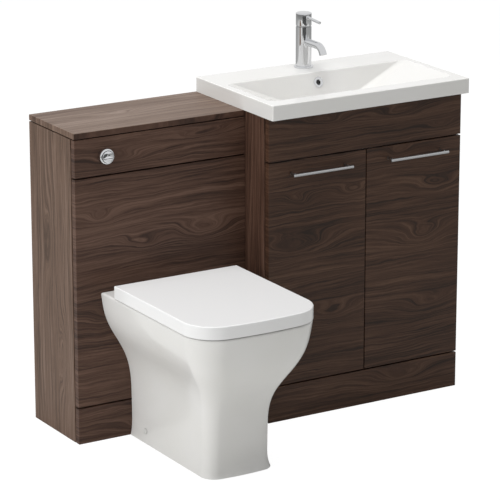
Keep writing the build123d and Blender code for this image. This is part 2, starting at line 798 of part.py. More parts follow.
with BuildPart() as lid:
    add(bowed_outline(lid_bottom, rim_half_width, lid_back, lid_front, rim_bow, rim_corner))
    extrude(amount=lid_height)
    fillet(lid.faces().sort_by(Axis.Z)[-1].edges(), lid_round)
    pocket_half = rim_half_width - lid_wall
    pocket_back = lid_back - rim_corner
    pocket_front = lid_front - lid_wall
    add(bowed_outline(lid_bottom, pocket_half, pocket_back, pocket_front, rim_bow, rim_corner - lid_wall))
    extrude(amount=lid_under - lid_bottom, mode=Mode.SUBTRACT)
    for side in (-1, 1):
        near = pan_centre + side * (post_offset + post_half + ear_gap)
        far = near + side * ear_width
        low_x, high_x = min(near, far), max(near, far)
        slab(low_x, high_x, barrel_front, barrel_back, hinge_axis_z, lid_under)
        ear_start = (low_x, hinge_axis_y, hinge_axis_z)
        ear_end = (high_x, hinge_axis_y, hinge_axis_z)
        rod(post_barrel_radius, ear_start, ear_end)
        rod(post_stub_radius + running_clearance, ear_start, ear_end, mode=Mode.SUBTRACT)
save(lid.part, "lid")

buffer_spots = [
    (pan_centre + side * x, wc_face - run)
    for side in (-1, 1)
    for x, run in ((buffer_side, buffer_rear), (buffer_front_side, lid_front - buffer_from_front))
]
for name, foot, head in (
    ("seat_buffers", pan_height + buffer_gap, seat_bottom),
    ("lid_buffers", seat_top + buffer_gap, lid_under),
):
    with BuildPart() as buffers:
        for x, y in buffer_spots:
            rod(buffer_radius, (x, y, foot), (x, y, head))
    save(buffers.part, name)

# ================================================================ vanity carcass
for name, x0, x1 in (
    ("vanity_side_left", 0.0, board),
    ("vanity_side_right", vanity_width - board, vanity_width),
):
    with BuildPart() as vanity_side:
        slab(x0, x1, -vanity_side_depth, 0.0, 0.0, cabinet_height)
        fillet(vanity_side.edges(), board_edge)
    save(vanity_side.part, name)

bay_left = board
bay_right = vanity_width - board
with BuildPart() as vanity_base:
    slab(bay_left, bay_right, -vanity_side_depth, 0.0, door_bottom, door_bottom + board)
save(vanity_base.part, "vanity_base")

with BuildPart() as vanity_rails:
    rail_back = vanity_seat + board
    slab(bay_left, bay_right, vanity_seat, rail_back, fascia_bottom, fascia_bottom + front_rail_width)
    slab(bay_left, bay_right, vanity_seat, rail_back, door_bottom - rail_width, door_bottom)
    slab(bay_left, bay_right, -board, 0.0, cabinet_height - back_rail_height, cabinet_height)
save(vanity_rails.part, "vanity_rails")

for name, low, high in (
    ("vanity_fascia", fascia_bottom, cabinet_height - top_groove),
    ("vanity_plinth", 0.0, plinth_top),
):
    with BuildPart() as vanity_front:
        slab(front_margin, vanity_width - front_margin, vanity_face, vanity_seat, low, high)
        fillet(vanity_front.edges(), board_edge)
    save(vanity_front.part, name)

# ================================================================ doors, hinges and handles
handle_height = door_top - handle_below_top
hinge_heights = (door_bottom + hinge_from_end, door_top - hinge_from_end)
hinge_y = vanity_face + hinge_from_face
cup_floor = hinge_y - hinge_eye_radius - button_gap - hinge_cup_floor
arm_offset = board + hinge_plate_thickness + hinge_arm_thickness / 2
doors = (
    ("left", 1, front_margin, 0.0, door_middle - door_joint / 2),
    ("right", -1, vanity_width - front_margin, vanity_width, door_middle + door_joint / 2),
)
for name, inward, edge, carcass, meeting in doors:
    cup_x = edge + inward * hinge_cup_from_edge
    pin_x = edge + inward * hinge_from_edge
    handle_x = (edge + meeting) / 2
    post_spots = [handle_x + side * (handle_length / 2 - handle_post_inset) for side in (-1, 1)]
    with BuildPart() as door:
        slab(min(edge, meeting), max(edge, meeting), vanity_face, vanity_seat, door_bottom, door_top)
        fillet(door.edges(), board_edge)
        for z in hinge_heights:
            rod(hinge_cup_radius, (cup_x, cup_floor, z), (cup_x, vanity_seat, z), mode=Mode.SUBTRACT)
            pin_foot = (pin_x, hinge_y, z - hinge_pin_length / 2)
            pin_head = (pin_x, hinge_y, z + hinge_pin_length / 2)
            rod(hinge_pin_radius, pin_foot, pin_head, mode=Mode.SUBTRACT)
        for x in post_spots:
            screw_start = (x, vanity_face, handle_height)
            screw_stop = (x, vanity_seat, handle_height)
            rod(handle_screw_radius + fit_clearance, screw_start, screw_stop, mode=Mode.SUBTRACT)
    save(door.part, f"door_{name}")

    with BuildPart() as hinge_cups:
        for z in hinge_heights:
            mouth = (cup_x, vanity_seat, z)
            rod(hinge_cup_radius, (cup_x, cup_floor, z), mouth)
            half_wing = hinge_cup_radius - hinge_cup_wing_inset
            wing_back = vanity_seat + hinge_cup_wall
            wing_left, wing_right = cup_x - half_wing, cup_x + half_wing
            wing_low, wing_high = z - hinge_cup_wing, z + hinge_cup_wing
            slab(wing_left, wing_right, vanity_seat, wing_back, wing_low, wing_high)
            cavity = hinge_cup_radius - hinge_cup_wall
            cavity_foot = (cup_x, cup_floor + hinge_cup_floor, z)
            rod(cavity, cavity_foot, (cup_x, wing_back, z), mode=Mode.SUBTRACT)
            pin_foot = (pin_x, hinge_y, z - hinge_pin_length / 2)
            pin_head = (pin_x, hinge_y, z + hinge_pin_length / 2)
            rod(hinge_pin_radius, pin_foot, pin_head, mode=Mode.SUBTRACT)
    save(hinge_cups.part, f"hinge_cups_{name}")

    with BuildPart() as hinge_pins:
        for z in hinge_heights:
            pin_foot = (pin_x, hinge_y, z - hinge_pin_length / 2)
            rod(hinge_pin_radius, pin_foot, (pin_x, hinge_y, z + hinge_pin_length / 2))
    save(hinge_pins.part, f"hinge_pins_{name}")

    with BuildPart() as handle:
        handle_y = vanity_face - handle_standoff
        handle_left = (handle_x - handle_length / 2, handle_y, handle_height)
        handle_right = (handle_x + handle_length / 2, handle_y, handle_height)
        rod(handle_radius, handle_left, handle_right)
        fillet(handle.edges().filter_by(GeomType.CIRCLE), handle_round)
        for x in post_spots:
            rod(handle_post_radius, (x, handle_y, handle_height), (x, vanity_face, handle_height))
        for x in post_spots:
            bite = (x, vanity_face - handle_screw_bite, handle_height)
            rod(handle_screw_radius, bite, (x, vanity_face, handle_height), mode=Mode.SUBTRACT)
    save(handle.part, f"handle_{name}")

    with BuildPart() as handle_screws:
        for x in post_spots:
            bite = (x, vanity_face - handle_screw_bite, handle_height)
            rod(handle_screw_radius, bite, (x, vanity_seat, handle_height))
            head_end = (x, vanity_seat + handle_screw_head_height, handle_height)
            rod(handle_screw_head, (x, vanity_seat, handle_height), head_end)
    save(handle_screws.part, f"handle_screws_{name}")

with BuildPart() as hinge_arms:
    half_arm = hinge_arm_height / 2
    half_thick = hinge_arm_thickness / 2
    for name, inward, edge, carcass, meeting in doors:
        pin_x = edge + inward * hinge_from_edge
        arm_x = carcass + inward * arm_offset
        arm_far = arm_x + inward * half_thick
        arm_near = arm_x - inward * half_thick
        plate_x = carcass + inward * board
        arm_tail = hinge_y + hinge_arm_tail
        plate_front = -vanity_side_depth + hinge_plate_setback
        plate_back = plate_front + hinge_plate_length
        crank_left, crank_right = min(pin_x, arm_far), max(pin_x, arm_far)
        arm_left, arm_right = min(arm_near, arm_far), max(arm_near, arm_far)
        plate_left, plate_right = min(plate_x, arm_near), max(plate_x, arm_near)
        for z in hinge_heights:
            low, high = z - half_arm, z + half_arm
            slab(crank_left, crank_right, hinge_y - half_thick, hinge_y + half_thick, low, high)
            slab(arm_left, arm_right, hinge_y - half_thick, arm_tail, low, high)
            plate_low, plate_high = z - hinge_plate_height / 2, z + hinge_plate_height / 2
            slab(plate_left, plate_right, plate_front, plate_back, plate_low, plate_high)
            rod(hinge_eye_radius, (pin_x, hinge_y, low), (pin_x, hinge_y, high))
            pin_hole = hinge_pin_radius + running_clearance
            rod(pin_hole, (pin_x, hinge_y, low), (pin_x, hinge_y, high), mode=Mode.SUBTRACT)
save(hinge_arms.part, "hinge_arms")

# ================================================================ basin
slab_y = -basin_depth / 2
bowl_width = basin_width - 2 * bowl_side_rim
bowl_length = bowl_front - bowl_back
floor_length = floor_front - floor_back
duct_half = overflow_duct_width / 2
duct_back = -(bowl_back - overflow_duct_wall - overflow_duct_depth)
duct_front = -(bowl_back - overflow_duct_wall)
duct_top = basin_top - basin_skirt
overflow_z = basin_top - overflow_drop
overflow_y = -(bowl_back + bowl_floor_back_run * overflow_drop / bowl_depth)
overflow_seat = Vector(door_middle, overflow_y, overflow_z)
wall_normal = Vector(0, -bowl_depth, bowl_floor_back_run).normalized()
run_low = waste_boss_bottom + (waste_boss_height - overflow_run_height) / 2
run_high = run_low + overflow_run_height
with BuildPart() as basin:
    with BuildSketch(Plane.XY.offset(cabinet_height)):
        with Locations((door_middle, slab_y)):
            RectangleRounded(basin_width, basin_depth, basin_corner)
    extrude(amount=basin_edge)
    fillet(basin.faces().sort_by(Axis.Z)[-1].edges(), basin_top_round)
    slab(
        basin_left + basin_skirt, basin_right - basin_skirt, -basin_depth + basin_skirt, -basin_skirt,
        cabinet_height, duct_top, mode=Mode.SUBTRACT,
    )
    with BuildSketch(Plane.XY.offset(basin_top - basin_top_round)):
        with Locations((door_middle, bowl_centre)):
            shell_corner = bowl_corner + basin_wall
            RectangleRounded(bowl_width + 2 * basin_wall, bowl_length + 2 * basin_wall, shell_corner)
    with BuildSketch(Plane.XY.offset(bowl_underside)):
        with Locations((door_middle, waste_y)):
            shell_corner = bowl_floor_corner + basin_wall
            RectangleRounded(bowl_floor_width + 2 * basin_wall, floor_length + 2 * basin_wall, shell_corner)
    loft()
    # cast duct from the overflow down the back and under the floor to the waste
    duct_left = door_middle - duct_half - overflow_duct_wall
    duct_right = door_middle + duct_half + overflow_duct_wall
    slab(duct_left, duct_right, -floor_back, duct_back + overflow_duct_wall, waste_boss_bottom, duct_top)
    slab(duct_left, duct_right, waste_y, -floor_back, waste_boss_bottom, bowl_underside)
    boss_foot = (door_middle, waste_y, waste_boss_bottom)
    rod(waste_boss_radius, boss_foot, (door_middle, waste_y, bowl_floor))
    with BuildSketch(Plane.XY.offset(basin_top)):
        with Locations((door_middle, bowl_centre)):
            RectangleRounded(bowl_width, bowl_length, bowl_corner)
    with BuildSketch(Plane.XY.offset(bowl_floor)):
        with Locations((door_middle, waste_y)):
            RectangleRounded(bowl_floor_width, floor_length, bowl_floor_corner)
    loft(mode=Mode.SUBTRACT)
    lip = basin.faces().filter_by(Axis.Z).sort_by(Axis.Z)[-1].inner_wires()[0]
    fillet(lip.edges(), bowl_lip_round)
    bore_left, bore_right = door_middle - duct_half, door_middle + duct_half
    bore_top = overflow_z + duct_half
    slab(bore_left, bore_right, duct_front, duct_back, run_low, bore_top, mode=Mode.SUBTRACT)
    slab(bore_left, bore_right, waste_y, duct_back, run_low, run_high, mode=Mode.SUBTRACT)
    overflow_end = overflow_seat - wall_normal * overflow_reach
    rod(overflow_hole, overflow_seat + wall_normal, overflow_end, mode=Mode.SUBTRACT)
    rod(waste_hole, boss_foot, (door_middle, waste_y, bowl_floor), mode=Mode.SUBTRACT)
    tap_foot = (door_middle, -tap_from_wall, duct_top)
    rod(tap_hole, tap_foot, (door_middle, -tap_from_wall, basin_top), mode=Mode.SUBTRACT)
save(basin.part, "basin")

with BuildPart() as overflow_ring:
    rod(overflow_ring_outer, overflow_seat, overflow_seat + wall_normal * overflow_ring_lip)
    fillet(overflow_ring.edges().filter_by(GeomType.CIRCLE).sort_by(Axis.Y)[0], overflow_ring_round)
    ring_end = overflow_seat - wall_normal * overflow_ring_depth
    rod(overflow_hole - running_clearance, ring_end, overflow_seat)
    rod(overflow_ring_inner, ring_end, overflow_seat + wall_normal * overflow_ring_lip, mode=Mode.SUBTRACT)
save(overflow_ring.part, "overflow_ring")

# ================================================================ waste and trap
flange_top = bowl_floor + waste_flange_height
barrel_foot = bowl_floor - waste_barrel_length
spider_foot = bowl_floor - waste_spider_drop
spider_top = spider_foot + waste_spider_height
barrel_bore = waste_barrel_radius - waste_barrel_wall
with BuildPart() as waste_body:
    rod(waste_flange_radius, (door_middle, waste_y, bowl_floor), (door_middle, waste_y, flange_top))
    fillet(waste_body.edges().sort_by(Axis.Z)[-1], waste_flange_round)
    barrel_end = (door_middle, waste_y, barrel_foot)
    rod(waste_barrel_radius, barrel_end, (door_middle, waste_y, bowl_floor))
    rod(barrel_bore, barrel_end, (door_middle, waste_y, flange_top), mode=Mode.SUBTRACT)
    slot_left = door_middle - waste_slot_width / 2
    slot_right = door_middle + waste_slot_width / 2
    slot_front = waste_y - waste_barrel_radius
    slot_back = waste_y + waste_barrel_radius
    slab(slot_left, slot_right, slot_front, slot_back, run_low, run_high, mode=Mode.SUBTRACT)
    # bar across the barrel with the plug's guide in the middle
    spider_front = waste_y - waste_spider_half
    spider_back = waste_y + waste_spider_half
    spider_left, spider_right = door_middle - barrel_bore, door_middle + barrel_bore
    slab(spider_left, spider_right, spider_front, spider_back, spider_foot, spider_top)
    guide_foot = (door_middle, waste_y, spider_foot)
    guide_top = (door_middle, waste_y, spider_top)
    rod(waste_stem_radius + waste_spider_wall, guide_foot, guide_top)
    rod(waste_stem_radius + running_clearance, guide_foot, guide_top, mode=Mode.SUBTRACT)
save(waste_body.part, "waste_body")

with BuildPart() as waste_nut:
    with BuildSketch(Plane.XY.offset(waste_boss_bottom - waste_nut_height)):
        with Locations((door_middle, waste_y)):
            RegularPolygon(waste_nut_radius, nut_sides)
            Circle(waste_barrel_radius, mode=Mode.SUBTRACT)
    extrude(amount=waste_nut_height)
save(waste_nut.part, "waste_nut")

with BuildPart() as waste_plug:
    plug_foot = flange_top + plug_gap
    rod(plug_radius, (door_middle, waste_y, plug_foot), (door_middle, waste_y, plug_foot + plug_height))
    fillet(waste_plug.edges().sort_by(Axis.Z)[-1], plug_round)
    stem_foot = (door_middle, waste_y, plug_foot - plug_stem_length)
    rod(waste_stem_radius, stem_foot, (door_middle, waste_y, plug_foot))
save(waste_plug.part, "waste_plug")

trap_top = barrel_foot - trap_inlet_length
trap_foot = trap_top - trap_body_height
trap_outlet_z = trap_top - trap_outlet_drop
trap_socket_back = waste_y + trap_body_radius + trap_socket_length
trap_pipe_front = trap_socket_back - trap_pipe_overlap
with BuildPart() as bottle_trap:
    rod(trap_body_radius, (door_middle, waste_y, trap_foot), (door_middle, waste_y, trap_top))
    fillet(bottle_trap.edges().filter_by(GeomType.CIRCLE), trap_round)
    outlet_inside = (door_middle, waste_y, trap_outlet_z)
    socket_front = (door_middle, waste_y + trap_body_radius - trap_wall, trap_outlet_z)
    socket_back = (door_middle, trap_socket_back, trap_outlet_z)
    rod(trap_socket_radius, socket_front, socket_back)
    bottle_bore = trap_body_radius - trap_wall
    bottle_floor = (door_middle, waste_y, trap_foot + trap_wall)
    bottle_ceiling = (door_middle, waste_y, trap_top - trap_wall)
    rod(bottle_bore, bottle_floor, bottle_ceiling, mode=Mode.SUBTRACT)
    trap_inlet_top = (door_middle, waste_y, barrel_foot)
    dip_foot = (door_middle, waste_y, trap_top - trap_dip_length)
    rod(trap_inlet_radius, dip_foot, trap_inlet_top)
    trap_nut_top = (door_middle, waste_y, barrel_foot + trap_nut_overlap)
    trap_nut_foot = (door_middle, waste_y, barrel_foot + trap_nut_overlap - trap_nut_height)
    rod(trap_nut_radius, trap_nut_foot, trap_nut_top)
    rod(waste_barrel_radius, trap_inlet_top, trap_nut_top, mode=Mode.SUBTRACT)
    rod(trap_inlet_radius - trap_wall, dip_foot, trap_inlet_top, mode=Mode.SUBTRACT)
    pipe_seat = (door_middle, trap_pipe_front, trap_outlet_z)
    rod(trap_outlet_radius, pipe_seat, socket_back, mode=Mode.SUBTRACT)
    outlet_neck = (door_middle, waste_y + trap_inlet_radius + trap_wall, trap_outlet_z)
    rod(trap_outlet_radius - trap_wall, outlet_neck, pipe_seat, mode=Mode.SUBTRACT)
save(bottle_trap.part, "bottle_trap")

with BuildPart() as trap_pipe:
    # the pipe, with the washer that seals it at the socket's mouth
    washer_end = (door_middle, trap_socket_back + trap_washer_height, trap_outlet_z)
    pipe_end_wall = (door_middle, 0.0, trap_outlet_z)
    rod(trap_washer_radius, socket_back, washer_end)
    rod(trap_outlet_radius, pipe_seat, pipe_end_wall)
    rod(trap_outlet_radius - trap_wall, pipe_seat, pipe_end_wall, mode=Mode.SUBTRACT)
save(trap_pipe.part, "trap_pipe")

# ================================================================ tap
tap_y = -tap_from_wall
cap_seat = tap_top - tap_cap_height
collar_seat = cap_seat - tap_collar_height
with BuildPart() as tap_base_ring:
    rod(tap_base_radius, (door_middle, tap_y, basin_top), (door_middle, tap_y, basin_top + tap_base_height))
    fillet(tap_base_ring.edges().sort_by(Axis.Z)[-1], tap_base_round)
    ring_top = (door_middle, tap_y, basin_top + tap_base_height)
    rod(tap_radius, (door_middle, tap_y, basin_top), ring_top, mode=Mode.SUBTRACT)
save(tap_base_ring.part, "tap_base_ring")

with BuildPart() as tap_body:
    rod(tap_radius, (door_middle, tap_y, basin_top), (door_middle, tap_y, collar_seat))
    with BuildLine(Plane(origin=(door_middle, 0, 0), x_dir=(0, 1, 0), z_dir=(1, 0, 0))) as spout_path:
        spout_z = basin_top + spout_height
        straight = Line((tap_y, spout_z), (tap_y - spout_straight, spout_z))
        bend = JernArc(straight @ 1, straight % 1, spout_bend_radius, spout_bend_angle)
        Line(bend @ 1, bend @ 1 + (bend % 1) * spout_nose)
    with BuildSketch(Plane(origin=spout_path.line @ 0, z_dir=spout_path.line % 0)):
        Circle(spout_radius)
    sweep()
    cavity_foot = (door_middle, tap_y, basin_top + tap_floor)
    rod(tap_radius - tap_wall, cavity_foot, (door_middle, tap_y, collar_seat), mode=Mode.SUBTRACT)
    with BuildSketch(Plane(origin=spout_path.line @ 0, z_dir=spout_path.line % 0)):
        Circle(spout_bore)
    sweep(path=spout_path.line, mode=Mode.SUBTRACT)
    for side in (-tap_inlet_offset, tap_inlet_offset):
        inlet_top = (door_middle, tap_y + side, basin_top + tap_floor)
        rod(tap_inlet_radius, (door_middle, tap_y + side, basin_top), inlet_top, mode=Mode.SUBTRACT)
save(tap_body.part, "tap_body")

with BuildPart() as tap_aerator:
    with BuildSketch(Plane(origin=spout_path.line @ 1, z_dir=spout_path.line % 1)):
        Circle(spout_bore)
        with PolarLocations(aerator_hole_ring, aerator_holes):
            Circle(aerator_hole_radius, mode=Mode.SUBTRACT)
    extrude(amount=-spout_nose)
save(tap_aerator.part, "tap_aerator")

with BuildPart() as tap_cartridge:
    cartridge_foot = (door_middle, tap_y, collar_seat - tap_cartridge_height)
    rod(tap_radius - tap_wall, cartridge_foot, (door_middle, tap_y, collar_seat))
    spindle_top = (door_middle, tap_y, collar_seat + tap_spindle_height)
    rod(tap_spindle_radius, (door_middle, tap_y, collar_seat), spindle_top)
save(tap_cartridge.part, "tap_cartridge")

with BuildPart() as tap_collar:
    collar_foot = (door_middle, tap_y, collar_seat + tap_joint_gap)
    tube(tap_collar_radius, tap_collar_bore, collar_foot, (door_middle, tap_y, cap_seat))
save(tap_collar.part, "tap_collar")

lever_z = tap_top - lever_below_top
lever_line = Vector(0, -1, 0).rotate(Axis.X, lever_droop)
lever_root = Vector(door_middle, tap_y - tap_radius + lever_seat, lever_z)
with BuildPart() as tap_cap:
    cap_foot = (door_middle, tap_y, cap_seat + tap_joint_gap)
    rod(tap_radius, cap_foot, (door_middle, tap_y, tap_top))
    fillet(tap_cap.edges().sort_by(Axis.Z)[-1], tap_cap_round)
    cavity_top = (door_middle, tap_y, cap_seat + tap_joint_gap + tap_cap_cavity)
    rod(tap_radius - tap_cap_wall, cap_foot, cavity_top, mode=Mode.SUBTRACT)
    rod(lever_radius, lever_root, lever_root + lever_line * lever_length, mode=Mode.SUBTRACT)
save(tap_cap.part, "tap_cap")

with BuildPart() as tap_lever:
    rod(lever_radius, lever_root, lever_root + lever_line * (lever_length + lever_seat))
    fillet(tap_lever.edges().sort_by(Axis.Y)[0], lever_end_round)
save(tap_lever.part, "tap_lever")

with BuildPart() as tap_fixing:
    washer_foot = (door_middle, tap_y, duct_top - tap_washer_height)
    rod(tap_washer_radius, washer_foot, (door_middle, tap_y, duct_top))
    for side in (-tap_stud_offset, tap_stud_offset):
        stud_x = door_middle + side
        rod(tap_stud_radius, (stud_x, tap_y, basin_top - tap_stud_length), (stud_x, tap_y, basin_top))
        nut_top = (stud_x, tap_y, duct_top - tap_washer_height)
        rod(tap_nut_radius, (stud_x, tap_y, duct_top - tap_washer_height - tap_nut_height), nut_top)
    # the washer is a horseshoe: its slot lets both tails through and opens to the front
    slot_half = tap_inlet_radius + tap_inlet_clearance
    slot_back = tap_y + tap_inlet_offset
    slot_foot = duct_top - tap_washer_height
    slot_end = (door_middle, slot_back, duct_top)
    rod(slot_half, (door_middle, slot_back, slot_foot), slot_end, mode=Mode.SUBTRACT)
    slot_x = (door_middle - slot_half, door_middle + slot_half)
    slab(*slot_x, tap_y - tap_washer_radius, slot_back, slot_foot, duct_top, mode=Mode.SUBTRACT)
save(tap_fixing.part, "tap_fixing")
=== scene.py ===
"""Toilet and basin combination unit: a white back-to-wall toilet and a white basin in walnut-effect cabinets.

The boards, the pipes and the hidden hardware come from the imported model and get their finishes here. The
ceramic, the seat and the lid keep its shapes, with their flats made whole. The turned parts of the tap, the
flush button, the handles, the plug, the overflow's ring and the small stops and caps are made here as smooth
surfaces, at the same places and nearly the same sizes. All lengths are in metres.
"""

import logging
import math
from dataclasses import dataclass, field
from enum import Enum
from typing import Any, Sequence

import bmesh
import bpy
import numpy as np
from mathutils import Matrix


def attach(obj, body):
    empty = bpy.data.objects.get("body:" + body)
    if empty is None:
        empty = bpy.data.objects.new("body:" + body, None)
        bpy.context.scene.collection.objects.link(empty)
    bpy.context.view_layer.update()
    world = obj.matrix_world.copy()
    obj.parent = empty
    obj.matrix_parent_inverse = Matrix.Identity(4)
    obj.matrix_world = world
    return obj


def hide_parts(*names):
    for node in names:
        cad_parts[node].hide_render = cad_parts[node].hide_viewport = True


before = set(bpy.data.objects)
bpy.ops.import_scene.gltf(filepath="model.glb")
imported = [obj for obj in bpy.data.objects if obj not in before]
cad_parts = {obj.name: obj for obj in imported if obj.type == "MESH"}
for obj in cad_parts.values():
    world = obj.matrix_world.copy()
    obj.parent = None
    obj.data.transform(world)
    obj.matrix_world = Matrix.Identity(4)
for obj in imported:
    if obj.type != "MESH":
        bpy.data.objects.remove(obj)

logging.basicConfig(level=logging.INFO, format="%(message)s")
log = logging.getLogger("combination_unit")

Point = tuple[float, float, float]
Eye = tuple[float, float, float, float]
PaintedLightFace = tuple[str, float, float, "Shade"]
Material = bpy.types.Material
Tree = bpy.types.NodeTree
Socket = bpy.types.NodeSocket

WELD = 1e-6              # points of a new skin that lie nearer than this become one


# ------------------------------------------------------------------ colours and nodes
def linear(code: str) -> tuple[float, float, float, float]:
    """Turns an sRGB hex colour to linear light.

    Args:
        code: the colour, such as "#4A3B34".

    Returns:
        Red, green, blue and an alpha of 1.
    """
    parts = [int(code[i:i + 2], 16) / 255 for i in (1, 3, 5)]
    values = [p / 12.92 if p <= 0.04045 else ((p + 0.055) / 1.055) ** 2.4 for p in parts]
    return values[0], values[1], values[2], 1.0


def add_node(tree: Tree, kind: str, inputs: dict[Any, Any] | None = None, **settings: Any) -> bpy.types.Node:
    """Adds one shader node, sets its properties, and fills or links its inputs.

    Args:
        tree: the node tree that gets the node.
        kind: the node's type without its "ShaderNode" prefix.
        inputs: input name or index to a value, or to the output socket that feeds it.
        settings: properties of the node itself.

    Returns:
        The new node.
    """
    node = tree.nodes.new("ShaderNode" + kind)
    for name, value in settings.items():
        setattr(node, name, value)
    for key, value in (inputs or {}).items():
        if isinstance(value, Socket):
            tree.links.new(value, node.inputs[key])
        else:
            node.inputs[key].default_value = value
    return node


def arithmetic(tree: Tree, operation: str, *values: Any) -> Socket:
    """Adds one Math node; its inputs, in order, are numbers or output sockets."""
    return add_node(tree, "Math", dict(enumerate(values)), operation=operation).outputs[0]


def ramp(tree: Tree, factor: Socket, stops: Sequence[tuple[float, str]]) -> Socket:
    """Adds a colour ramp.

    Args:
        tree: the node tree.
        factor: the value that picks the colour.
        stops: position and sRGB hex colour of each stop, lowest first.

    Returns:
        The ramp's colour socket.
    """
    node = add_node(tree, "ValToRGB", {"Fac": factor})
    elements = node.color_ramp.elements
    while len(elements) < len(stops):
        elements.new(0.5)
    for element, (position, code) in zip(elements, stops):
        element.position = position
        element.color = linear(code)
    return node.outputs["Color"]


def blank_material(name: str) -> tuple[Material, Tree]:
    """Makes a material whose node tree is empty.

    Args:
        name: the material's name.

    Returns:
        The material and its node tree.
    """
    material = bpy.data.materials.new(name)
    material.use_nodes = True
    material.node_tree.nodes.clear()
    return material, material.node_tree


def fresh_material(name: str) -> tuple[Material, bpy.types.Node]:
    """Makes a material with one surface shader that is joined to the output.

    Args:
        name: the material's name.

    Returns:
        The material and its Principled BSDF node.
    """
    material, tree = blank_material(name)
    shader = add_node(tree, "BsdfPrincipled")
    add_node(tree, "OutputMaterial", {"Surface": shader.outputs["BSDF"]})
    return material, shader


# ------------------------------------------------------------------ surfaces
@dataclass(frozen=True)
class Placement:
    """Where a turned or pressed shape stands: its origin and its axis, which is upright unless given."""

    origin: Point
    axis: Point = (0.0, 0.0, 1.0)

    def frame(self) -> np.ndarray:
        """Works out three unit directions: two across the axis and the axis itself.

        Returns:
            The directions as the rows of a 3 by 3 array.
        """
        axis = np.array(self.axis, dtype=float)
        axis /= np.linalg.norm(axis)
        near_x = abs(axis[0]) > 0.9
        helper = np.array((0.0, 1.0, 0.0) if near_x else (1.0, 0.0, 0.0))
        first = helper - axis * (helper @ axis)
        first /= np.linalg.norm(first)
        return np.array((first, np.cross(axis, first), axis))

    def put(self, first: np.ndarray, second: np.ndarray, along: np.ndarray) -> np.ndarray:
        """Places points given across and along the axis: P = origin + first u + second v + along w."""
        return np.array(self.origin) + np.stack((first, second, along), axis=-1) @ self.frame()


def rounded_line(corners: Sequence[Point], steps: int = 5) -> np.ndarray:
    """Works out a profile with rounded corners.

    At a corner of radius r whose runs meet at the angle a, the arc touches each run r / tan(a / 2) from the
    corner, and its centre lies r / sin(a / 2) from it on the line that halves the angle. The arc turns by
    b = 180 degrees - a, and its points are centre + (sin((1 - t) b) start + sin(t b) stop) / sin b.

    Args:
        corners: two coordinates and a radius for each corner; the first and the last stay sharp.
        steps: runs in each rounded corner.

    Returns:
        The profile's points, one in a row.
    """
    points = np.array([corner[:2] for corner in corners], dtype=float)
    line = [points[:1]]
    for before, corner, after, (_, _, radius) in zip(points, points[1:], points[2:], corners[1:]):
        if not radius:
            line.append(corner[None])
            continue
        back = (before - corner) / np.linalg.norm(before - corner)
        ahead = (after - corner) / np.linalg.norm(after - corner)
        half = 0.5 * math.acos(float(np.clip(back @ ahead, -1.0, 1.0)))
        centre = corner + (back + ahead) / np.linalg.norm(back + ahead) * radius / math.sin(half)
        start = corner + back * radius / math.tan(half) - centre
        stop = corner + ahead * radius / math.tan(half) - centre
        turn = math.pi - 2 * half
        share = np.linspace(0.0, 1.0, steps + 1)[:, None]
        arc = (np.sin((1 - share) * turn) * start + np.sin(share * turn) * stop) / math.sin(turn)
        line.append(centre + arc)
    line.append(points[-1:])
    return np.concatenate(line)


def turned(corners: Sequence[Point], place: Placement, segments: int = 96) -> np.ndarray:
    """Turns a profile about an axis: P(i, a) = origin + r cos(a) u + r sin(a) v + h w.

    Args:
        corners: radius, height along the axis and rounding of each corner of the profile.
        place: where the axis stands.
        segments: points around.

    Returns:
        The points, rows along the profile and columns around.
    """
    profile = rounded_line(corners)
    angle = np.linspace(0.0, 2 * math.pi, segments, endpoint=False)
    radius = profile[:, :1] * np.ones(segments)
    height = profile[:, 1:] * np.ones(segments)
    return place.put(radius * np.cos(angle), radius * np.sin(angle), height)


def pressed(outline: np.ndarray, steps: np.ndarray, place: Placement) -> np.ndarray:
    """Stacks shrunk copies of an outline: P(i, j) = centre + s_i (outline_j - centre), at the height h_i.

    Args:
        outline: points of the closed outline across the axis.
        steps: share of the outline's size and height along the axis, one pair in a row.
        place: where the axis stands.

    Returns:
        The points, rows along the steps and columns around.
    """
    centre = outline.mean(axis=0)
    across = centre + steps[:, :1, None] * (outline - centre)[None]
    height = steps[:, 1:] * np.ones(len(outline))
    return place.put(across[..., 0], across[..., 1], height)


def solid(name: str, skins: Sequence[np.ndarray], sharp: float = 38.0) -> bpy.types.Object:
    """Joins grids of points, each closed around, into one mesh with smooth faces and crisp edges.

    Args:
        name: the piece's name.
        skins: grids of points, rows along and columns around; rows that shrink to a point close the end.
        sharp: edges that turn by more than this many degrees stay crisp.

    Returns:
        The new object, at the origin.
    """
    points, faces, base = [], [], 0
    for rows in skins:
        index = base + np.arange(rows.shape[0] * rows.shape[1]).reshape(rows.shape[:2])
        after = np.roll(index, -1, axis=1)
        faces.append(np.stack((index[:-1], after[:-1], after[1:], index[1:]), axis=-1).reshape(-1, 4))
        points.append(rows.reshape(-1, 3))
        base += index.size
    mesh = bpy.data.meshes.new(name)
    mesh.from_pydata(np.concatenate(points).tolist(), [], np.concatenate(faces).tolist())
    shape = bmesh.new()
    shape.from_mesh(mesh)
    bmesh.ops.remove_doubles(shape, verts=shape.verts, dist=WELD)
    bmesh.ops.recalc_face_normals(shape, faces=shape.faces)
    shape.to_mesh(mesh)
    shape.free()
    mesh.polygons.foreach_set("use_smooth", [True] * len(mesh.polygons))
    mesh.set_sharp_from_angle(angle=math.radians(sharp))
    piece = bpy.data.objects.new(name, mesh)
    bpy.context.scene.collection.objects.link(piece)
    return piece


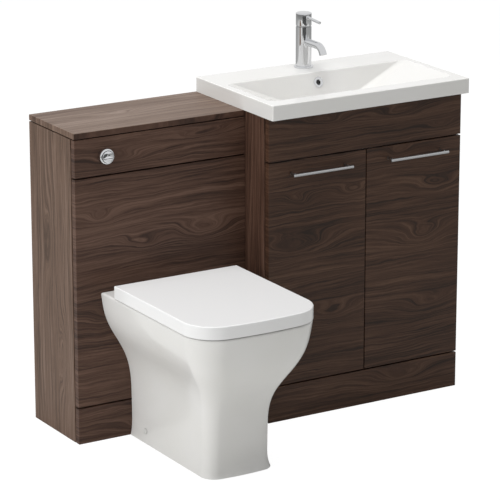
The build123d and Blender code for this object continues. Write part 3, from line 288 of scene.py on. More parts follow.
def fit(piece: bpy.types.Object, body: str, slot: str, material: Material, *nodes: str) -> None:
    """Dresses a new piece, puts it on its body and hides the CAD nodes it stands for.

    Args:
        piece: the new piece.
        body: the CAD body it moves with.
        slot: not used.
        material: its material.
        nodes: the CAD nodes it replaces.
    """
    piece.data.materials.append(material)
    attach(piece, body)
    if nodes:
        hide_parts(*nodes)
    log.info("built %s on %s, %d faces", piece.name, body, len(piece.data.polygons))


# ------------------------------------------------------------------ finishes
class Grain(Enum):
    """Which row axis the grain runs along, which lies across it, and which goes into the board."""

    FRONT = ("X", "Z", "Y")
    TOP = ("X", "Y", "Z")
    SIDE = ("Z", "Y", "X")


class Shade(Enum):
    """Copies of one walnut print as dark, middle and light sRGB tones; the two lightest copies are painted
    light, the print made lighter for sides, edges and the worktop's top where light falls more.
    """

    WARM = ("#30211A", "#50392E", "#6A5144")
    DEEP = ("#271B14", "#452F23", "#5D4536")
    LIT = ("#4B3A2F", "#6A5446", "#836D60")
    TOP_LIT = ("#57443A", "#705D50", "#877468")


class Figure(Enum):
    """Noises of the walnut figure: counts per metre along, across and into the board, then octaves."""

    SLOW = (1.8, 5.0, 2.0, 1.0)
    HAND = (6.0, 19.0, 3.0, 2.0)
    RIPPLE = (24.0, 70.0, 6.0, 2.0)
    DRIFT = (9.0, 22.0, 3.0, 1.0)
    STREAKS = (1.6, 48.0, 2.0, 1.0)
    RINGS = (2.6, 120.0, 2.0, 1.0)
    LINES = (4.0, 270.0, 3.0, 1.0)
    FINE = (11.0, 620.0, 8.0, 1.0)
    PORES = (60.0, 1300.0, 20.0, 1.0)
    PATCHES = (2.4, 4.5, 2.0, 1.0)


@dataclass(frozen=True)
class WalnutFilm:
    """Walnut-effect film pressed on board: a printed plain-sawn figure under a matt, faintly embossed skin.

    The eye sees long dark streaks with thin pale lines between them. Round each eye of the figure the lines
    bend into arches and ovals, where the saw ran tangent to the growth rings. An eye is its centre along and
    across the grain, then its half length and half width.
    A painted light face gives some faces of the board another copy of the print, lighter or darker for how
    light falls on them: the row axis, the middle and the reach to both sides of the faces it paints, and that
    copy.
    wander weighs the slow, hand-wide and rippling noise that bends the grain lines. eye_bend and eye_drift
    weigh what bends the eyes across and along the grain, and eye_offset makes up for that bending's mean.
    tones weighs the noises read along the lines, and stops are the tones of the shade's three colours.
    """

    name: str
    grain: Grain
    shade: Shade
    eyes: tuple[Eye, ...]
    shift: Point = (0.0, 0.0, 0.0)
    strips: tuple[PaintedLightFace, ...] = ()
    lift: float = 1.5
    wander: tuple[float, float, float] = (0.046, 0.018, 0.006)
    eye_bend: tuple[float, float] = (0.030, 0.010)
    eye_drift: float = 0.08
    eye_offset: tuple[float, float] = (0.04, 0.021)
    tones: tuple[tuple[Figure, float], ...] = (
        (Figure.STREAKS, 0.18), (Figure.RINGS, 0.20), (Figure.LINES, 0.34), (Figure.FINE, 0.24),
        (Figure.PORES, 0.10))
    patch_weight: float = 0.14
    stops: tuple[float, float, float] = (0.48, 0.60, 0.73)
    emboss_weights: tuple[float, float] = (0.6, 0.4)
    emboss_strength: float = 0.3
    emboss_depth: float = 0.0002
    roughness: float = 0.48
    wear: float = 0.05
    worn_tones: tuple[float, float] = (0.45, 0.8)
    ior: float = 1.34

    def material(self) -> Material:
        """Builds the film's material.

        Returns:
            The material.
        """
        material, shader = fresh_material(self.name)
        tree = material.node_tree
        place = add_node(tree, "TexCoord").outputs["Object"]
        axes = add_node(tree, "SeparateXYZ", {0: place}).outputs
        along, across, depth = (axes[a] for a in self.grain.value)
        moved = self._moved(tree, along, across, depth)

        # the grain wanders: by about 23 mm over half a metre, 9 mm over a hand's width and 3 mm in ripples
        slow, hand, ripple = (self._noise(tree, moved, f) for f in (Figure.SLOW, Figure.HAND, Figure.RIPPLE))
        lifted = self._sum(tree, (across, 1.0), *zip((slow, hand, ripple), self.wander))
        bent = self._sum(tree, (across, 1.0), *zip((hand, ripple), self.eye_bend))
        drift = self._noise(tree, moved, Figure.DRIFT)
        along_bent = self._sum(tree, (along, 1.0), (drift, self.eye_drift))

        # each eye lifts the grain lines like a hill: lift x half width x exp(-reach squared)
        for centre_along, centre_across, half_length, half_width in self.eyes:
            length = arithmetic(tree, "SUBTRACT", along_bent, centre_along + self.eye_offset[0])
            length = arithmetic(tree, "DIVIDE", length, half_length)
            width = arithmetic(tree, "SUBTRACT", bent, centre_across + self.eye_offset[1])
            width = arithmetic(tree, "DIVIDE", width, half_width)
            pair = add_node(tree, "CombineXYZ", {"X": length, "Y": width}).outputs[0]
            reach = add_node(tree, "VectorMath", {0: pair, 1: pair}, operation="DOT_PRODUCT").outputs["Value"]
            hill = arithmetic(tree, "EXPONENT", arithmetic(tree, "MULTIPLY", reach, -1.0))
            lifted = self._sum(tree, (lifted, 1.0), (hill, self.lift * half_width))

        # streaks and lines: noise read along the grain and across the lifted lines
        ringed = self._moved(tree, along, lifted, depth)
        read = {figure: self._noise(tree, ringed, figure) for figure, _ in self.tones}
        patches = self._noise(tree, moved, Figure.PATCHES)
        weighted = [(read[figure], weight) for figure, weight in self.tones]
        tone = self._sum(tree, *weighted, (patches, self.patch_weight))
        colour = self._print(tree, tone, self.shade)
        # painted light: faces picked by their place on a row axis get another copy of the print, so a board's
        # top, side edges and front edge differ in tone the way light falls on them
        for axis, middle, reach, shade in self.strips:
            painted_face_mask = arithmetic(tree, "COMPARE", axes[axis], middle, reach)
            mixed = add_node(tree, "MixRGB", {0: painted_face_mask, 1: colour, 2: self._print(tree, tone, shade)})
            colour = mixed.outputs[0]
        tree.links.new(colour, shader.inputs["Base Color"])

        # embossed pores: the film's skin dips some hundredths of a millimetre
        skin = self._sum(tree, *zip((read[Figure.PORES], read[Figure.FINE]), self.emboss_weights))
        bump = add_node(tree, "Bump", {
            "Height": skin, "Strength": self.emboss_strength, "Distance": self.emboss_depth})
        tree.links.new(bump.outputs[0], shader.inputs["Normal"])
        low, high = self.worn_tones
        worn = add_node(tree, "MapRange", {
            "Value": tone, "From Min": low, "From Max": high,
            "To Min": self.roughness + self.wear, "To Max": self.roughness - self.wear}).outputs[0]
        tree.links.new(worn, shader.inputs["Roughness"])
        shader.inputs["IOR"].default_value = self.ior
        return material

    def _moved(self, tree: Tree, *parts: Socket) -> Socket:
        """Joins distances along, across and into the board to one position and adds the board's shift."""
        joined = add_node(tree, "CombineXYZ", dict(zip("XYZ", parts))).outputs[0]
        return add_node(tree, "VectorMath", {0: joined, 1: self.shift}, operation="ADD").outputs[0]

    def _print(self, tree: Tree, tone: Socket, shade: Shade) -> Socket:
        """Turns the figure's tone, about 0.4 to 0.8, to the print's colours."""
        return ramp(tree, tone, tuple(zip(self.stops, shade.value)))

    @staticmethod
    def _noise(tree: Tree, place: Socket, figure: Figure) -> Socket:
        """Adds one noise of the figure, a value of about 0.25 to 0.75."""
        *scale, octaves = figure.value
        place = add_node(tree, "VectorMath", {0: place, 1: scale}, operation="MULTIPLY").outputs[0]
        return add_node(tree, "TexNoise", {"Vector": place, "Scale": 1.0, "Detail": octaves}).outputs["Fac"]

    @staticmethod
    def _sum(tree: Tree, *terms: tuple[Socket, float]) -> Socket:
        """Adds values, each times its weight.

        Args:
            tree: the node tree.
            terms: pairs of value and weight.

        Returns:
            The weighted sum.
        """
        total, *others = (arithmetic(tree, "MULTIPLY", value, weight) for value, weight in terms)
        for part in others:
            total = arithmetic(tree, "ADD", total, part)
        return total


@dataclass(frozen=True)
class PlainFinish:
    """A finish of one colour, with a fine bump from the way its surface was made.

    bump_size is the real spacing of the surface's unevenness and bump_depth its height. stretch draws the
    unevenness out along an axis. A tint is a second colour in soft clouds of the size tint_size.
    """

    name: str
    colour: str
    roughness: float
    metallic: float = 0.0
    ior: float | None = None
    bump_size: float = 0.0
    bump_depth: float = 0.0
    stretch: Point = (1.0, 1.0, 1.0)
    tint: str | None = None
    tint_size: float = 0.2
    tint_stops: tuple[float, float] = (0.35, 0.65)
    octaves: float = 2.0

    def material(self) -> Material:
        """Builds the finish's material.

        Returns:
            The material.
        """
        material, shader = fresh_material(self.name)
        tree = material.node_tree
        shader.inputs["Metallic"].default_value = self.metallic
        shader.inputs["Roughness"].default_value = self.roughness
        if self.ior is not None:
            shader.inputs["IOR"].default_value = self.ior
        place = add_node(tree, "TexCoord").outputs["Object"]
        if self.tint is None:
            shader.inputs["Base Color"].default_value = linear(self.colour)
        else:
            cloud = self._noise(tree, place, self.tint_size)
            clouded = ramp(tree, cloud, tuple(zip(self.tint_stops, (self.colour, self.tint))))
            tree.links.new(clouded, shader.inputs["Base Color"])
        if self.bump_depth:
            drawn = add_node(tree, "VectorMath", {0: place, 1: self.stretch}, operation="MULTIPLY").outputs[0]
            uneven = self._noise(tree, drawn, self.bump_size)
            bump = add_node(tree, "Bump", {"Height": uneven, "Strength": 1.0, "Distance": self.bump_depth})
            tree.links.new(bump.outputs[0], shader.inputs["Normal"])
        return material

    def _noise(self, tree: Tree, place: Socket, size: float) -> Socket:
        """Adds noise whose spacing is a real size."""
        noise = add_node(tree, "TexNoise", {"Vector": place, "Scale": 1 / size, "Detail": self.octaves})
        return noise.outputs["Fac"]


# ------------------------------------------------------------------ studio
@dataclass
class Studio:
    """A white floor, a grey room, soft lamps, grey cards for the polished parts to mirror, and the camera.

    A lamp is its name, centre, side and power in watts. A card is its name, centre, width and height.
    """

    camera_place: Point = (-3.7405, -6.4598, 2.5836)
    camera_yaw: float = 31.141
    camera_pitch: float = 16.414
    camera_reach: float = 60.0
    lens: float = 208.0
    sensor: float = 36.0
    floor_size: float = 30.0
    floor_paint: str = "#E2E2E0"
    floor_glow: float = 1.12
    floor_share: float = 0.86
    world_level: float = 0.32
    mirrored_share: float = 0.80
    lamps: tuple[tuple[str, Point, float, float], ...] = (
        ("left_softbox", (-4.0, -0.9, 2.0), 2.4, 76.0),
        ("top_softbox", (-0.3, -0.4, 5.4), 3.0, 170.0),
    )
    aim: Point = (0.05, -0.3, 0.5)
    cards: tuple[tuple[str, Point, float, float], ...] = (
        ("grey_card_front", (-0.54, -2.08, 0.40), 2.20, 0.80),
        ("grey_card_right", (0.66, -1.96, 0.20), 0.34, 0.44),
    )
    card_aim: tuple[float, float] = (0.3, -0.05)
    card_felt: str = "#6E6E6E"

    def build(self) -> None:
        """Makes the floor, the world, the lamps, the cards and the camera."""
        self._floor()
        self._world()
        for name, place, size, watts in self.lamps:
            self._lamp(name, place, size, watts)
        for name, place, width, height in self.cards:
            self._card(name, place, width, height)
        self._camera()

    def _card(self, name: str, place: Point, width: float, height: float) -> None:
        """Stands one grey card that only polished surfaces mirror, turned to the tap.

        Args:
            name: the card's name.
            place: its centre.
            width: its width.
            height: its height.
        """
        toward = np.array(self.card_aim) - np.array(place[:2])
        toward /= np.linalg.norm(toward)
        half = np.array((-toward[1], toward[0])) * width / 2
        corners = [(place[0] + s * half[0], place[1] + s * half[1], place[2] + h * height / 2)
                   for s, h in ((-1, -1), (1, -1), (1, 1), (-1, 1))]
        material, tree = blank_material(name + "_felt")
        felt = add_node(tree, "BsdfDiffuse", {"Color": linear(self.card_felt)}).outputs[0]
        add_node(tree, "OutputMaterial", {"Surface": felt})
        card = self._sheet(name, corners, material)
        card.visible_camera = card.visible_diffuse = card.visible_shadow = card.visible_transmission = False

    def _floor(self) -> None:
        """Makes the floor: painted white, and white to the camera apart from the object's soft shadow."""
        half = self.floor_size / 2
        corners = [(-half, -half, 0.0), (half, -half, 0.0), (half, half, 0.0), (-half, half, 0.0)]
        material, tree = blank_material("white_painted_floor")
        paint = add_node(tree, "BsdfDiffuse", {"Color": linear(self.floor_paint)}).outputs[0]
        glow = {"Color": linear("#FFFFFF"), "Strength": self.floor_glow}
        white = add_node(tree, "Emission", glow).outputs[0]
        seen = add_node(tree, "LightPath").outputs["Is Camera Ray"]
        share = arithmetic(tree, "MULTIPLY", seen, self.floor_share)
        mixed = add_node(tree, "MixShader", {0: share, 1: paint, 2: white}).outputs[0]
        add_node(tree, "OutputMaterial", {"Surface": mixed})
        floor = self._sheet("studio_floor", corners, material)

    @staticmethod
    def _sheet(name: str, corners: Sequence[Point], material: Material) -> bpy.types.Object:
        """Makes one flat piece with four corners.

        Args:
            name: the piece's name.
            corners: its corners in order.
            material: its material.

        Returns:
            The new object.
        """
        mesh = bpy.data.meshes.new(name)
        mesh.from_pydata(corners, [], [(0, 1, 2, 3)])
        mesh.materials.append(material)
        sheet = bpy.data.objects.new(name, mesh)
        bpy.context.scene.collection.objects.link(sheet)
        return sheet

    def _world(self) -> None:
        """Makes a grey room that is white to the camera and nearly white in reflections."""
        world = bpy.data.worlds.new("studio_room")
        bpy.context.scene.world = world
        world.use_nodes = True
        tree = world.node_tree
        tree.nodes.clear()
        path = add_node(tree, "LightPath").outputs
        shown = arithmetic(tree, "MAXIMUM", path["Is Camera Ray"], path["Is Transmission Ray"])
        mirrored = arithmetic(tree, "MULTIPLY", path["Is Glossy Ray"], self.mirrored_share)
        shown = arithmetic(tree, "MAXIMUM", shown, mirrored)
        level = add_node(tree, "MapRange", {
            "Value": shown, "To Min": self.world_level, "To Max": 1.0}).outputs[0]
        light = add_node(tree, "Background", {"Color": linear("#FFFFFF"), "Strength": level}).outputs[0]
        add_node(tree, "OutputWorld", {"Surface": light})

    def _lamp(self, name: str, place: Point, size: float, watts: float) -> None:
        """Hangs one square softbox that points at the object and isn't mirrored by it.

        Args:
            name: the lamp's name.
            place: its centre.
            size: its side.
            watts: its power.
        """
        data = bpy.data.lights.new(name, "AREA")
        data.shape = "SQUARE"
        data.size = size
        data.energy = watts
        lamp = bpy.data.objects.new(name, data)
        lamp.location = place
        lamp.visible_glossy = False
        away = np.array(self.aim) - np.array(place)
        flat = math.hypot(away[0], away[1])
        lamp.rotation_euler = (math.atan2(flat, -away[2]), 0.0, math.atan2(-away[0], away[1]))
        bpy.context.scene.collection.objects.link(lamp)

    def _camera(self) -> None:
        """Places the camera, turned clockwise from +Y by its yaw and tipped down by its pitch."""
        data = bpy.data.cameras.new("camera")
        data.lens = self.lens
        data.sensor_width = self.sensor
        data.clip_end = self.camera_reach
        camera = bpy.data.objects.new("camera", data)
        camera.location = self.camera_place
        camera.rotation_euler = (math.radians(90 - self.camera_pitch), 0.0, math.radians(-self.camera_yaw))
        bpy.context.scene.collection.objects.link(camera)
        bpy.context.scene.camera = camera


# ------------------------------------------------------------------ finishes of this unit
GLAZE = PlainFinish("vitreous_china_white_glaze", "#ECEBE9", 0.14, ior=1.5, tint="#EAE9E6", tint_size=0.15)
CHROME = PlainFinish("chrome_plated_brass_polished", "#D9DADC", 0.05, metallic=1.0)
ALUMINIUM = PlainFinish("aluminium_bar_satin_drawn", "#B4B5B7", 0.34, metallic=1.0,
                        bump_size=0.0006, bump_depth=0.000004, stretch=(0.03, 1.0, 1.0))
STEEL = PlainFinish("steel_pressed_zinc_plated", "#A8ABAD", 0.38, metallic=1.0,
                    bump_size=0.002, bump_depth=0.00001, tint="#9A9DA0", tint_size=0.02)
SEAT = PlainFinish("urea_thermoset_moulded_white", "#F5F5F5", 0.16, ior=1.5,
                   bump_size=0.02, bump_depth=0.00002)
PLASTIC = PlainFinish("polypropylene_moulded_white", "#DEDEDB", 0.42, ior=1.49,
                      bump_size=0.0015, bump_depth=0.00002)
RUBBER = PlainFinish("silicone_rubber_moulded_grey", "#C9C9C7", 0.62, ior=1.41,
                     bump_size=0.001, bump_depth=0.00002)


@dataclass(frozen=True)
class Cut:
    """How one board was cut from the film: grain, shade and the eyes of its figure, and faces painted in
    another copy of the print as painted light.
    """

    grain: Grain
    shade: Shade
    eyes: tuple[Eye, ...]
    strips: tuple[PaintedLightFace, ...] = ()


@dataclass
class Cabinets:
    """The boards of both cabinets, each with its own cut of the walnut film.

    board_step is how far apart in the film's noise the boards are read.
    """

    board_step: float = 0.37
    cuts: dict[str, Cut] = field(default_factory=lambda: {
        "wc_fascia": Cut(Grain.FRONT, Shade.WARM, ((-0.36, 0.745, 0.07, 0.018), (-0.13, 0.775, 0.09, 0.016))),
        "wc_front_panel": Cut(Grain.FRONT, Shade.WARM, (
            (-0.13, 0.522, 0.075, 0.030), (-0.30, 0.512, 0.060, 0.022), (-0.43, 0.600, 0.050, 0.016),
            (-0.40, 0.335, 0.090, 0.026))),
        "wc_plinth": Cut(Grain.FRONT, Shade.WARM, ((-0.30, 0.02, 0.08, 0.02),)),
        "vanity_fascia": Cut(Grain.FRONT, Shade.DEEP, (
            (0.16, 0.795, 0.080, 0.016), (0.41, 0.785, 0.090, 0.020), (0.53, 0.742, 0.05, 0.012))),
        "vanity_plinth": Cut(Grain.FRONT, Shade.DEEP, ((0.42, 0.06, 0.09, 0.02),)),
        "door_left": Cut(Grain.FRONT, Shade.DEEP, (
            (0.085, 0.596, 0.050, 0.018), (0.27, 0.596, 0.045, 0.020), (0.075, 0.470, 0.110, 0.034),
            (0.20, 0.27, 0.10, 0.028))),
        "door_right": Cut(Grain.FRONT, Shade.DEEP, (
            (0.52, 0.582, 0.060, 0.022), (0.48, 0.446, 0.090, 0.034), (0.41, 0.684, 0.045, 0.016),
            (0.52, 0.25, 0.11, 0.026))),
        "wc_crossboards": Cut(Grain.FRONT, Shade.WARM, ((-0.3, 0.3, 0.1, 0.03),)),
        "vanity_rails": Cut(Grain.FRONT, Shade.WARM, ((0.3, 0.75, 0.1, 0.03),)),
        # painted light: the worktop's top gets the lightest copy of the print, its side and back edges a
        # lighter one and its front edge the darker front copy, for how light falls on each face
        "wc_worktop": Cut(Grain.TOP, Shade.TOP_LIT, ((-0.30, -0.11, 0.10, 0.020),), (
            ("Z", 0.8165, 0.0073, Shade.LIT), ("Y", -0.246, 0.0002, Shade.WARM))),
        "vanity_base": Cut(Grain.TOP, Shade.LIT, ((0.3, -0.2, 0.10, 0.03),)),
        # painted light: the toilet cabinet's left side gets a lighter copy of the print, because the lamp
        # lights it more
        "wc_side_left": Cut(Grain.SIDE, Shade.LIT, ((0.52, -0.10, 0.12, 0.022), (0.22, -0.17, 0.10, 0.02))),
        "wc_side_right": Cut(Grain.SIDE, Shade.LIT, ((0.4, -0.1, 0.1, 0.02),)),
        "vanity_side_left": Cut(Grain.SIDE, Shade.WARM, ((0.55, -0.20, 0.1, 0.02),)),
        "vanity_side_right": Cut(Grain.SIDE, Shade.WARM, ((0.4, -0.2, 0.12, 0.03), (0.65, -0.12, 0.1, 0.02))),
    })

    def dress(self) -> None:
        """Gives each board its film."""
        for number, (node, cut) in enumerate(self.cuts.items()):
            shift = (0.0, 0.0, self.board_step * number)
            film = WalnutFilm("walnut_film_" + node, cut.grain, cut.shade, cut.eyes, shift, cut.strips)
            dress_node(node, film.material())


def dress_node(node: str, material: Material) -> None:
    """Puts one material into all of a CAD node's slots.

    Args:
        node: the node's name.
        material: the material it gets.
    """
    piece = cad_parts[node]
    if not piece.material_slots:
        piece.data.materials.append(material)
    for slot in piece.material_slots:
        slot.material = material
    log.info("dressed %s with %s", node, material.name)


@dataclass
class PlainNodes:
    """The CAD nodes of one plain finish each."""

    finishes: tuple[tuple[PlainFinish, tuple[str, ...]], ...] = (
        (CHROME, ("waste_body", "tap_body")),
        (STEEL, ("hinge_cups_left", "hinge_cups_right", "hinge_pins_left", "hinge_pins_right", "hinge_arms",
                 "handle_screws_left", "handle_screws_right", "pan_screws", "tap_fixing")),
        (PLASTIC, ("cistern_tank", "cistern_lid", "flush_valve", "fill_valve", "flush_pipe", "pan_connector",
                   "waste_nut", "bottle_trap", "trap_pipe", "pan_brackets", "hinge_posts",
                   "seat_bolts", "button_nut", "tap_cartridge", "tap_aerator")),
        (RUBBER, ("flush_cone",)),
    )

    def dress(self) -> None:
        """Gives each node its finish."""
        for finish, nodes in self.finishes:
            material = finish.material()
            for node in nodes:
                dress_node(node, material)


# ------------------------------------------------------------------ fired and moulded shells
@dataclass(frozen=True)
class Shell:
    """A ceramic or moulded shell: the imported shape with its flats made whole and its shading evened."""

    node: str
    name: str
    body: str
    slot: str
    weld: float = 2e-6
    flat: float = 0.3
    crisp: float = 34.0

    def build(self, material: Material) -> None:
        """Makes the piece: merged points, one face for each flat, and normals that follow the large faces.

        Args:
            material: the glaze or the plastic.
        """
        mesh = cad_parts[self.node].data.copy()
        mesh.name = self.name
        mesh.materials.clear()
        shape = bmesh.new()
        shape.from_mesh(mesh)
        bmesh.ops.remove_doubles(shape, verts=shape.verts, dist=self.weld)
        bmesh.ops.dissolve_limit(
            shape, angle_limit=math.radians(self.flat), verts=shape.verts, edges=shape.edges)
        for face in shape.faces:
            face.smooth = True
            face.material_index = 0
        shape.to_mesh(mesh)
        shape.free()
        if "custom_normal" in mesh.attributes:
            mesh.attributes.remove(mesh.attributes["custom_normal"])
        mesh.set_sharp_from_angle(angle=math.radians(self.crisp))
        piece = bpy.data.objects.new(self.name, mesh)
        bpy.context.scene.collection.objects.link(piece)
        weighted = piece.modifiers.new("normals_by_face_size", "WEIGHTED_NORMAL")
        weighted.keep_sharp = True
        fit(piece, self.body, self.slot, material, self.node)


# ------------------------------------------------------------------ fittings made in mesh code
@dataclass
class FlushButton:
    """The push button on the toilet's cabinet: a chromed bezel on a barrel, and two domed keys.

    barbs holds the shares of a nipple's length where each of its two barbs starts and where it is widest.
    """

    centre: tuple[float, float] = (-0.412, 0.757)
    seat: float = -0.246
    bezel_radius: float = 0.0215
    bezel_height: float = 0.015
    bezel_foot: float = 0.0070
    bezel_lip: float = 0.0010
    bezel_rows: int = 14
    barrel_radius: float = 0.017
    barrel_length: float = 0.026
    barrel_round: float = 0.0006
    bore: float = 0.0156
    bore_floor: float = -0.007
    nipple_offset: float = 0.007
    nipple_radius: float = 0.003
    nipple_length: float = 0.009
    nipple_root: float = 0.001
    nipple_round: float = 0.0004
    nipple_slim: float = 0.78
    barbs: tuple[float, ...] = (0.30, 0.34, 0.62, 0.66)
    key_radius: float = 0.0152
    key_front: float = 0.018
    key_back: float = 0.004
    key_dome: float = 0.0016
    key_edge: float = 0.0012
    key_crisp: float = 60.0
    arc_points: int = 72
    chord_points: int = 24
    edge_rows: int = 7
    dome_rows: int = 14
    split: float = -0.0045
    split_gap: float = 0.0008

    def build(self, chrome: Material) -> None:
        """Makes the bezel and both keys.

        Args:
            chrome: the polished chrome.
        """
        x, z = self.centre
        front = Placement((x, self.seat, z), (0.0, -1.0, 0.0))
        lip, wall = self.bore + self.bezel_lip, self.bezel_radius - self.bore - self.bezel_lip
        rise = self.bezel_height - self.bezel_foot
        dome = [(lip + wall * math.cos(a), self.bezel_foot + rise * math.sin(a), 0)
                for a in np.linspace(0.0, math.pi / 2, self.bezel_rows)]
        bezel = turned((
            (0.0, -self.barrel_length, 0),
            (self.barrel_radius, -self.barrel_length, self.barrel_round), (self.barrel_radius, 0.0, 0),
            (self.bezel_radius, 0.0, 0), *dome,
            (self.bore, self.bezel_height - self.bezel_lip, 0), (self.bore, self.bore_floor, 0),
            (0.0, self.bore_floor, 0)), front)
        nipples = [self._nipple(x + side * self.nipple_offset, z) for side in (-1, 1)]
        fit(solid("button_bezel", [bezel, *nipples]), "unit", "chrome", chrome, "button_housing")
        top, low = self.split + self.split_gap / 2, self.split - self.split_gap / 2
        for name, body, node, edge, above in (
            ("button_key_full", "full_flush_key", "button_full_flush", top, True),
            ("button_key_half", "half_flush_key", "button_half_flush", low, False),
        ):
            key = pressed(self._outline(edge, above), self._steps(), front)
            fit(solid(name, [key], self.key_crisp), body, "chrome", chrome, node)

    def _nipple(self, x: float, z: float) -> np.ndarray:
        """Works out one air nipple with two barbs, behind the barrel.

        Args:
            x: its place across.
            z: its height.

        Returns:
            The grid of points.
        """
        root = Placement((x, self.seat + self.barrel_length, z), (0.0, 1.0, 0.0))
        wide, slim, length = self.nipple_radius, self.nipple_radius * self.nipple_slim, self.nipple_length
        barbed = [(wide if row % 2 else slim, share * length, 0) for row, share in enumerate(self.barbs)]
        return turned((
            (0.0, -self.nipple_root, 0), (slim, -self.nipple_root, 0), *barbed,
            (slim, length, self.nipple_round), (0.0, length, 0)), root, segments=24)

    def _outline(self, edge: float, above: bool) -> np.ndarray:
        """Works out a key's outline: an arc on one side of the split, closed by the split's straight edge.

        Args:
            edge: height of the straight edge over the button's centre.
            above: whether the key lies above the split.

        Returns:
            The outline's points across and up.
        """
        start = math.asin(edge / self.key_radius)
        stop = math.pi - start if above else -math.pi - start
        angle = np.linspace(start, stop, self.arc_points)
        arc = self.key_radius * np.stack((np.cos(angle), np.sin(angle)), axis=1)
        share = np.linspace(0.0, 1.0, self.chord_points + 2)[1:-1, None]
        chord = arc[-1] + share * (arc[0] - arc[-1])
        return np.concatenate((arc, chord))

    def _steps(self) -> np.ndarray:
        """Works out a key's rows: the back, a rounded rim and a front that sinks by dome x s squared.

        Returns:
            Share of the outline and height, one pair in a row.
        """
        turn = np.linspace(0.0, math.pi / 2, self.edge_rows)
        inset = self.key_edge / self.key_radius
        inner = 1 - inset
        sunk = self.key_dome * (1 - (1 - np.cos(turn)) * (1 - inner ** 2))
        height = self.key_front - self.key_edge * (1 - np.sin(turn)) - sunk
        rim = np.stack((1 - inset * (1 - np.cos(turn)), height), axis=1)
        share = np.linspace(inner, 0.0, self.dome_rows)[1:]
        dome = np.stack((share, self.key_front - self.key_dome * share ** 2), axis=1)
        back = np.array(((0.0, self.key_back), (1.0, self.key_back)))
        return np.concatenate((back, rim, dome))


@dataclass
class BasinMixer:
    """The turned parts of the tap: base ring, collar, cap and lever. The body with its spout stays as packed.

    neck holds the corners of the ring on the lever: how far out from it, how far along it, and the rounding.
    """

    x: float = 0.3
    y: float = -0.05
    deck: float = 0.864
    base_radius: float = 0.026
    base_height: float = 0.005
    base_round: float = 0.0018
    base_slope: float = 0.0002
    body_radius: float = 0.021
    collar_radius: float = 0.0196
    collar_bore: float = 0.013
    collar_low: float = 0.9763
    collar_high: float = 0.979
    fine_round: float = 0.0003
    cap_low: float = 0.9793
    cap_high: float = 1.014
    cap_cavity: float = 0.017
    cap_wall: float = 0.004
    cap_round: float = 0.003
    cap_crown: float = 0.0007
    cap_mouth_round: float = 0.0004
    ceiling_round: float = 0.001
    crown_share: float = 0.55
    crown_drop: float = 0.0001
    crown_round: float = 0.02
    lever_root: Point = (0.3, -0.062, 1.0035)
    lever_droop: float = 4.0
    lever_radius: float = 0.004
    lever_length: float = 0.069
    lever_round: float = 0.0012
    neck: tuple[Point, ...] = (
        (-0.0002, 0.0070, 0), (0.0014, 0.0072, 0), (0.0011, 0.0098, 0.0008), (-0.0002, 0.0112, 0),
        (-0.0002, 0.0070, 0))

    def build(self, chrome: Material) -> None:
        """Makes the four parts.

        Args:
            chrome: the polished chrome.
        """
        base = Placement((self.x, self.y, self.deck))
        ring = turned((
            (self.body_radius, 0.0, 0), (self.base_radius, 0.0, 0),
            (self.base_radius, self.base_height, self.base_round),
            (self.body_radius, self.base_height + self.base_slope, 0), (self.body_radius, 0.0, 0)), base)
        fit(solid("tap_base_collar", [ring]), "unit", "chrome", chrome, "tap_base_ring")
        axis = Placement((self.x, self.y, 0.0))
        collar = turned((
            (self.collar_bore, self.collar_low, 0), (self.collar_radius, self.collar_low, self.fine_round),
            (self.collar_radius, self.collar_high, self.fine_round), (self.collar_bore, self.collar_high, 0),
            (self.collar_bore, self.collar_low, 0)), axis)
        fit(solid("tap_turning_collar", [collar]), "tap_swivel", "chrome", chrome, "tap_collar")
        inner = self.body_radius - self.cap_wall
        ceiling = self.cap_low + self.cap_cavity
        shoulder = self.cap_high - self.cap_crown
        cap = turned((
            (0.0, ceiling, 0), (inner, ceiling, self.ceiling_round), (inner, self.cap_low, self.fine_round),
            (self.body_radius, self.cap_low, self.cap_mouth_round),
            (self.body_radius, shoulder, self.cap_round),
            (self.crown_share * self.body_radius, self.cap_high - self.crown_drop, self.crown_round),
            (0.0, self.cap_high, 0)), axis)
        fit(solid("tap_cap_turned", [cap]), "tap_handle", "chrome", chrome, "tap_cap")
        droop = math.radians(self.lever_droop)
        line = Placement(self.lever_root, (0.0, -math.cos(droop), -math.sin(droop)))
        lever = turned((
            (0.0, 0.0, 0), (self.lever_radius, 0.0, 0),
            (self.lever_radius, self.lever_length, self.lever_round), (0.0, self.lever_length, 0)),
            line, segments=48)
        neck = turned([(self.lever_radius + out, along, radius) for out, along, radius in self.neck],
                      line, segments=48)
        fit(solid("tap_lever_turned", [lever, neck]), "tap_handle", "chrome", chrome, "tap_lever")


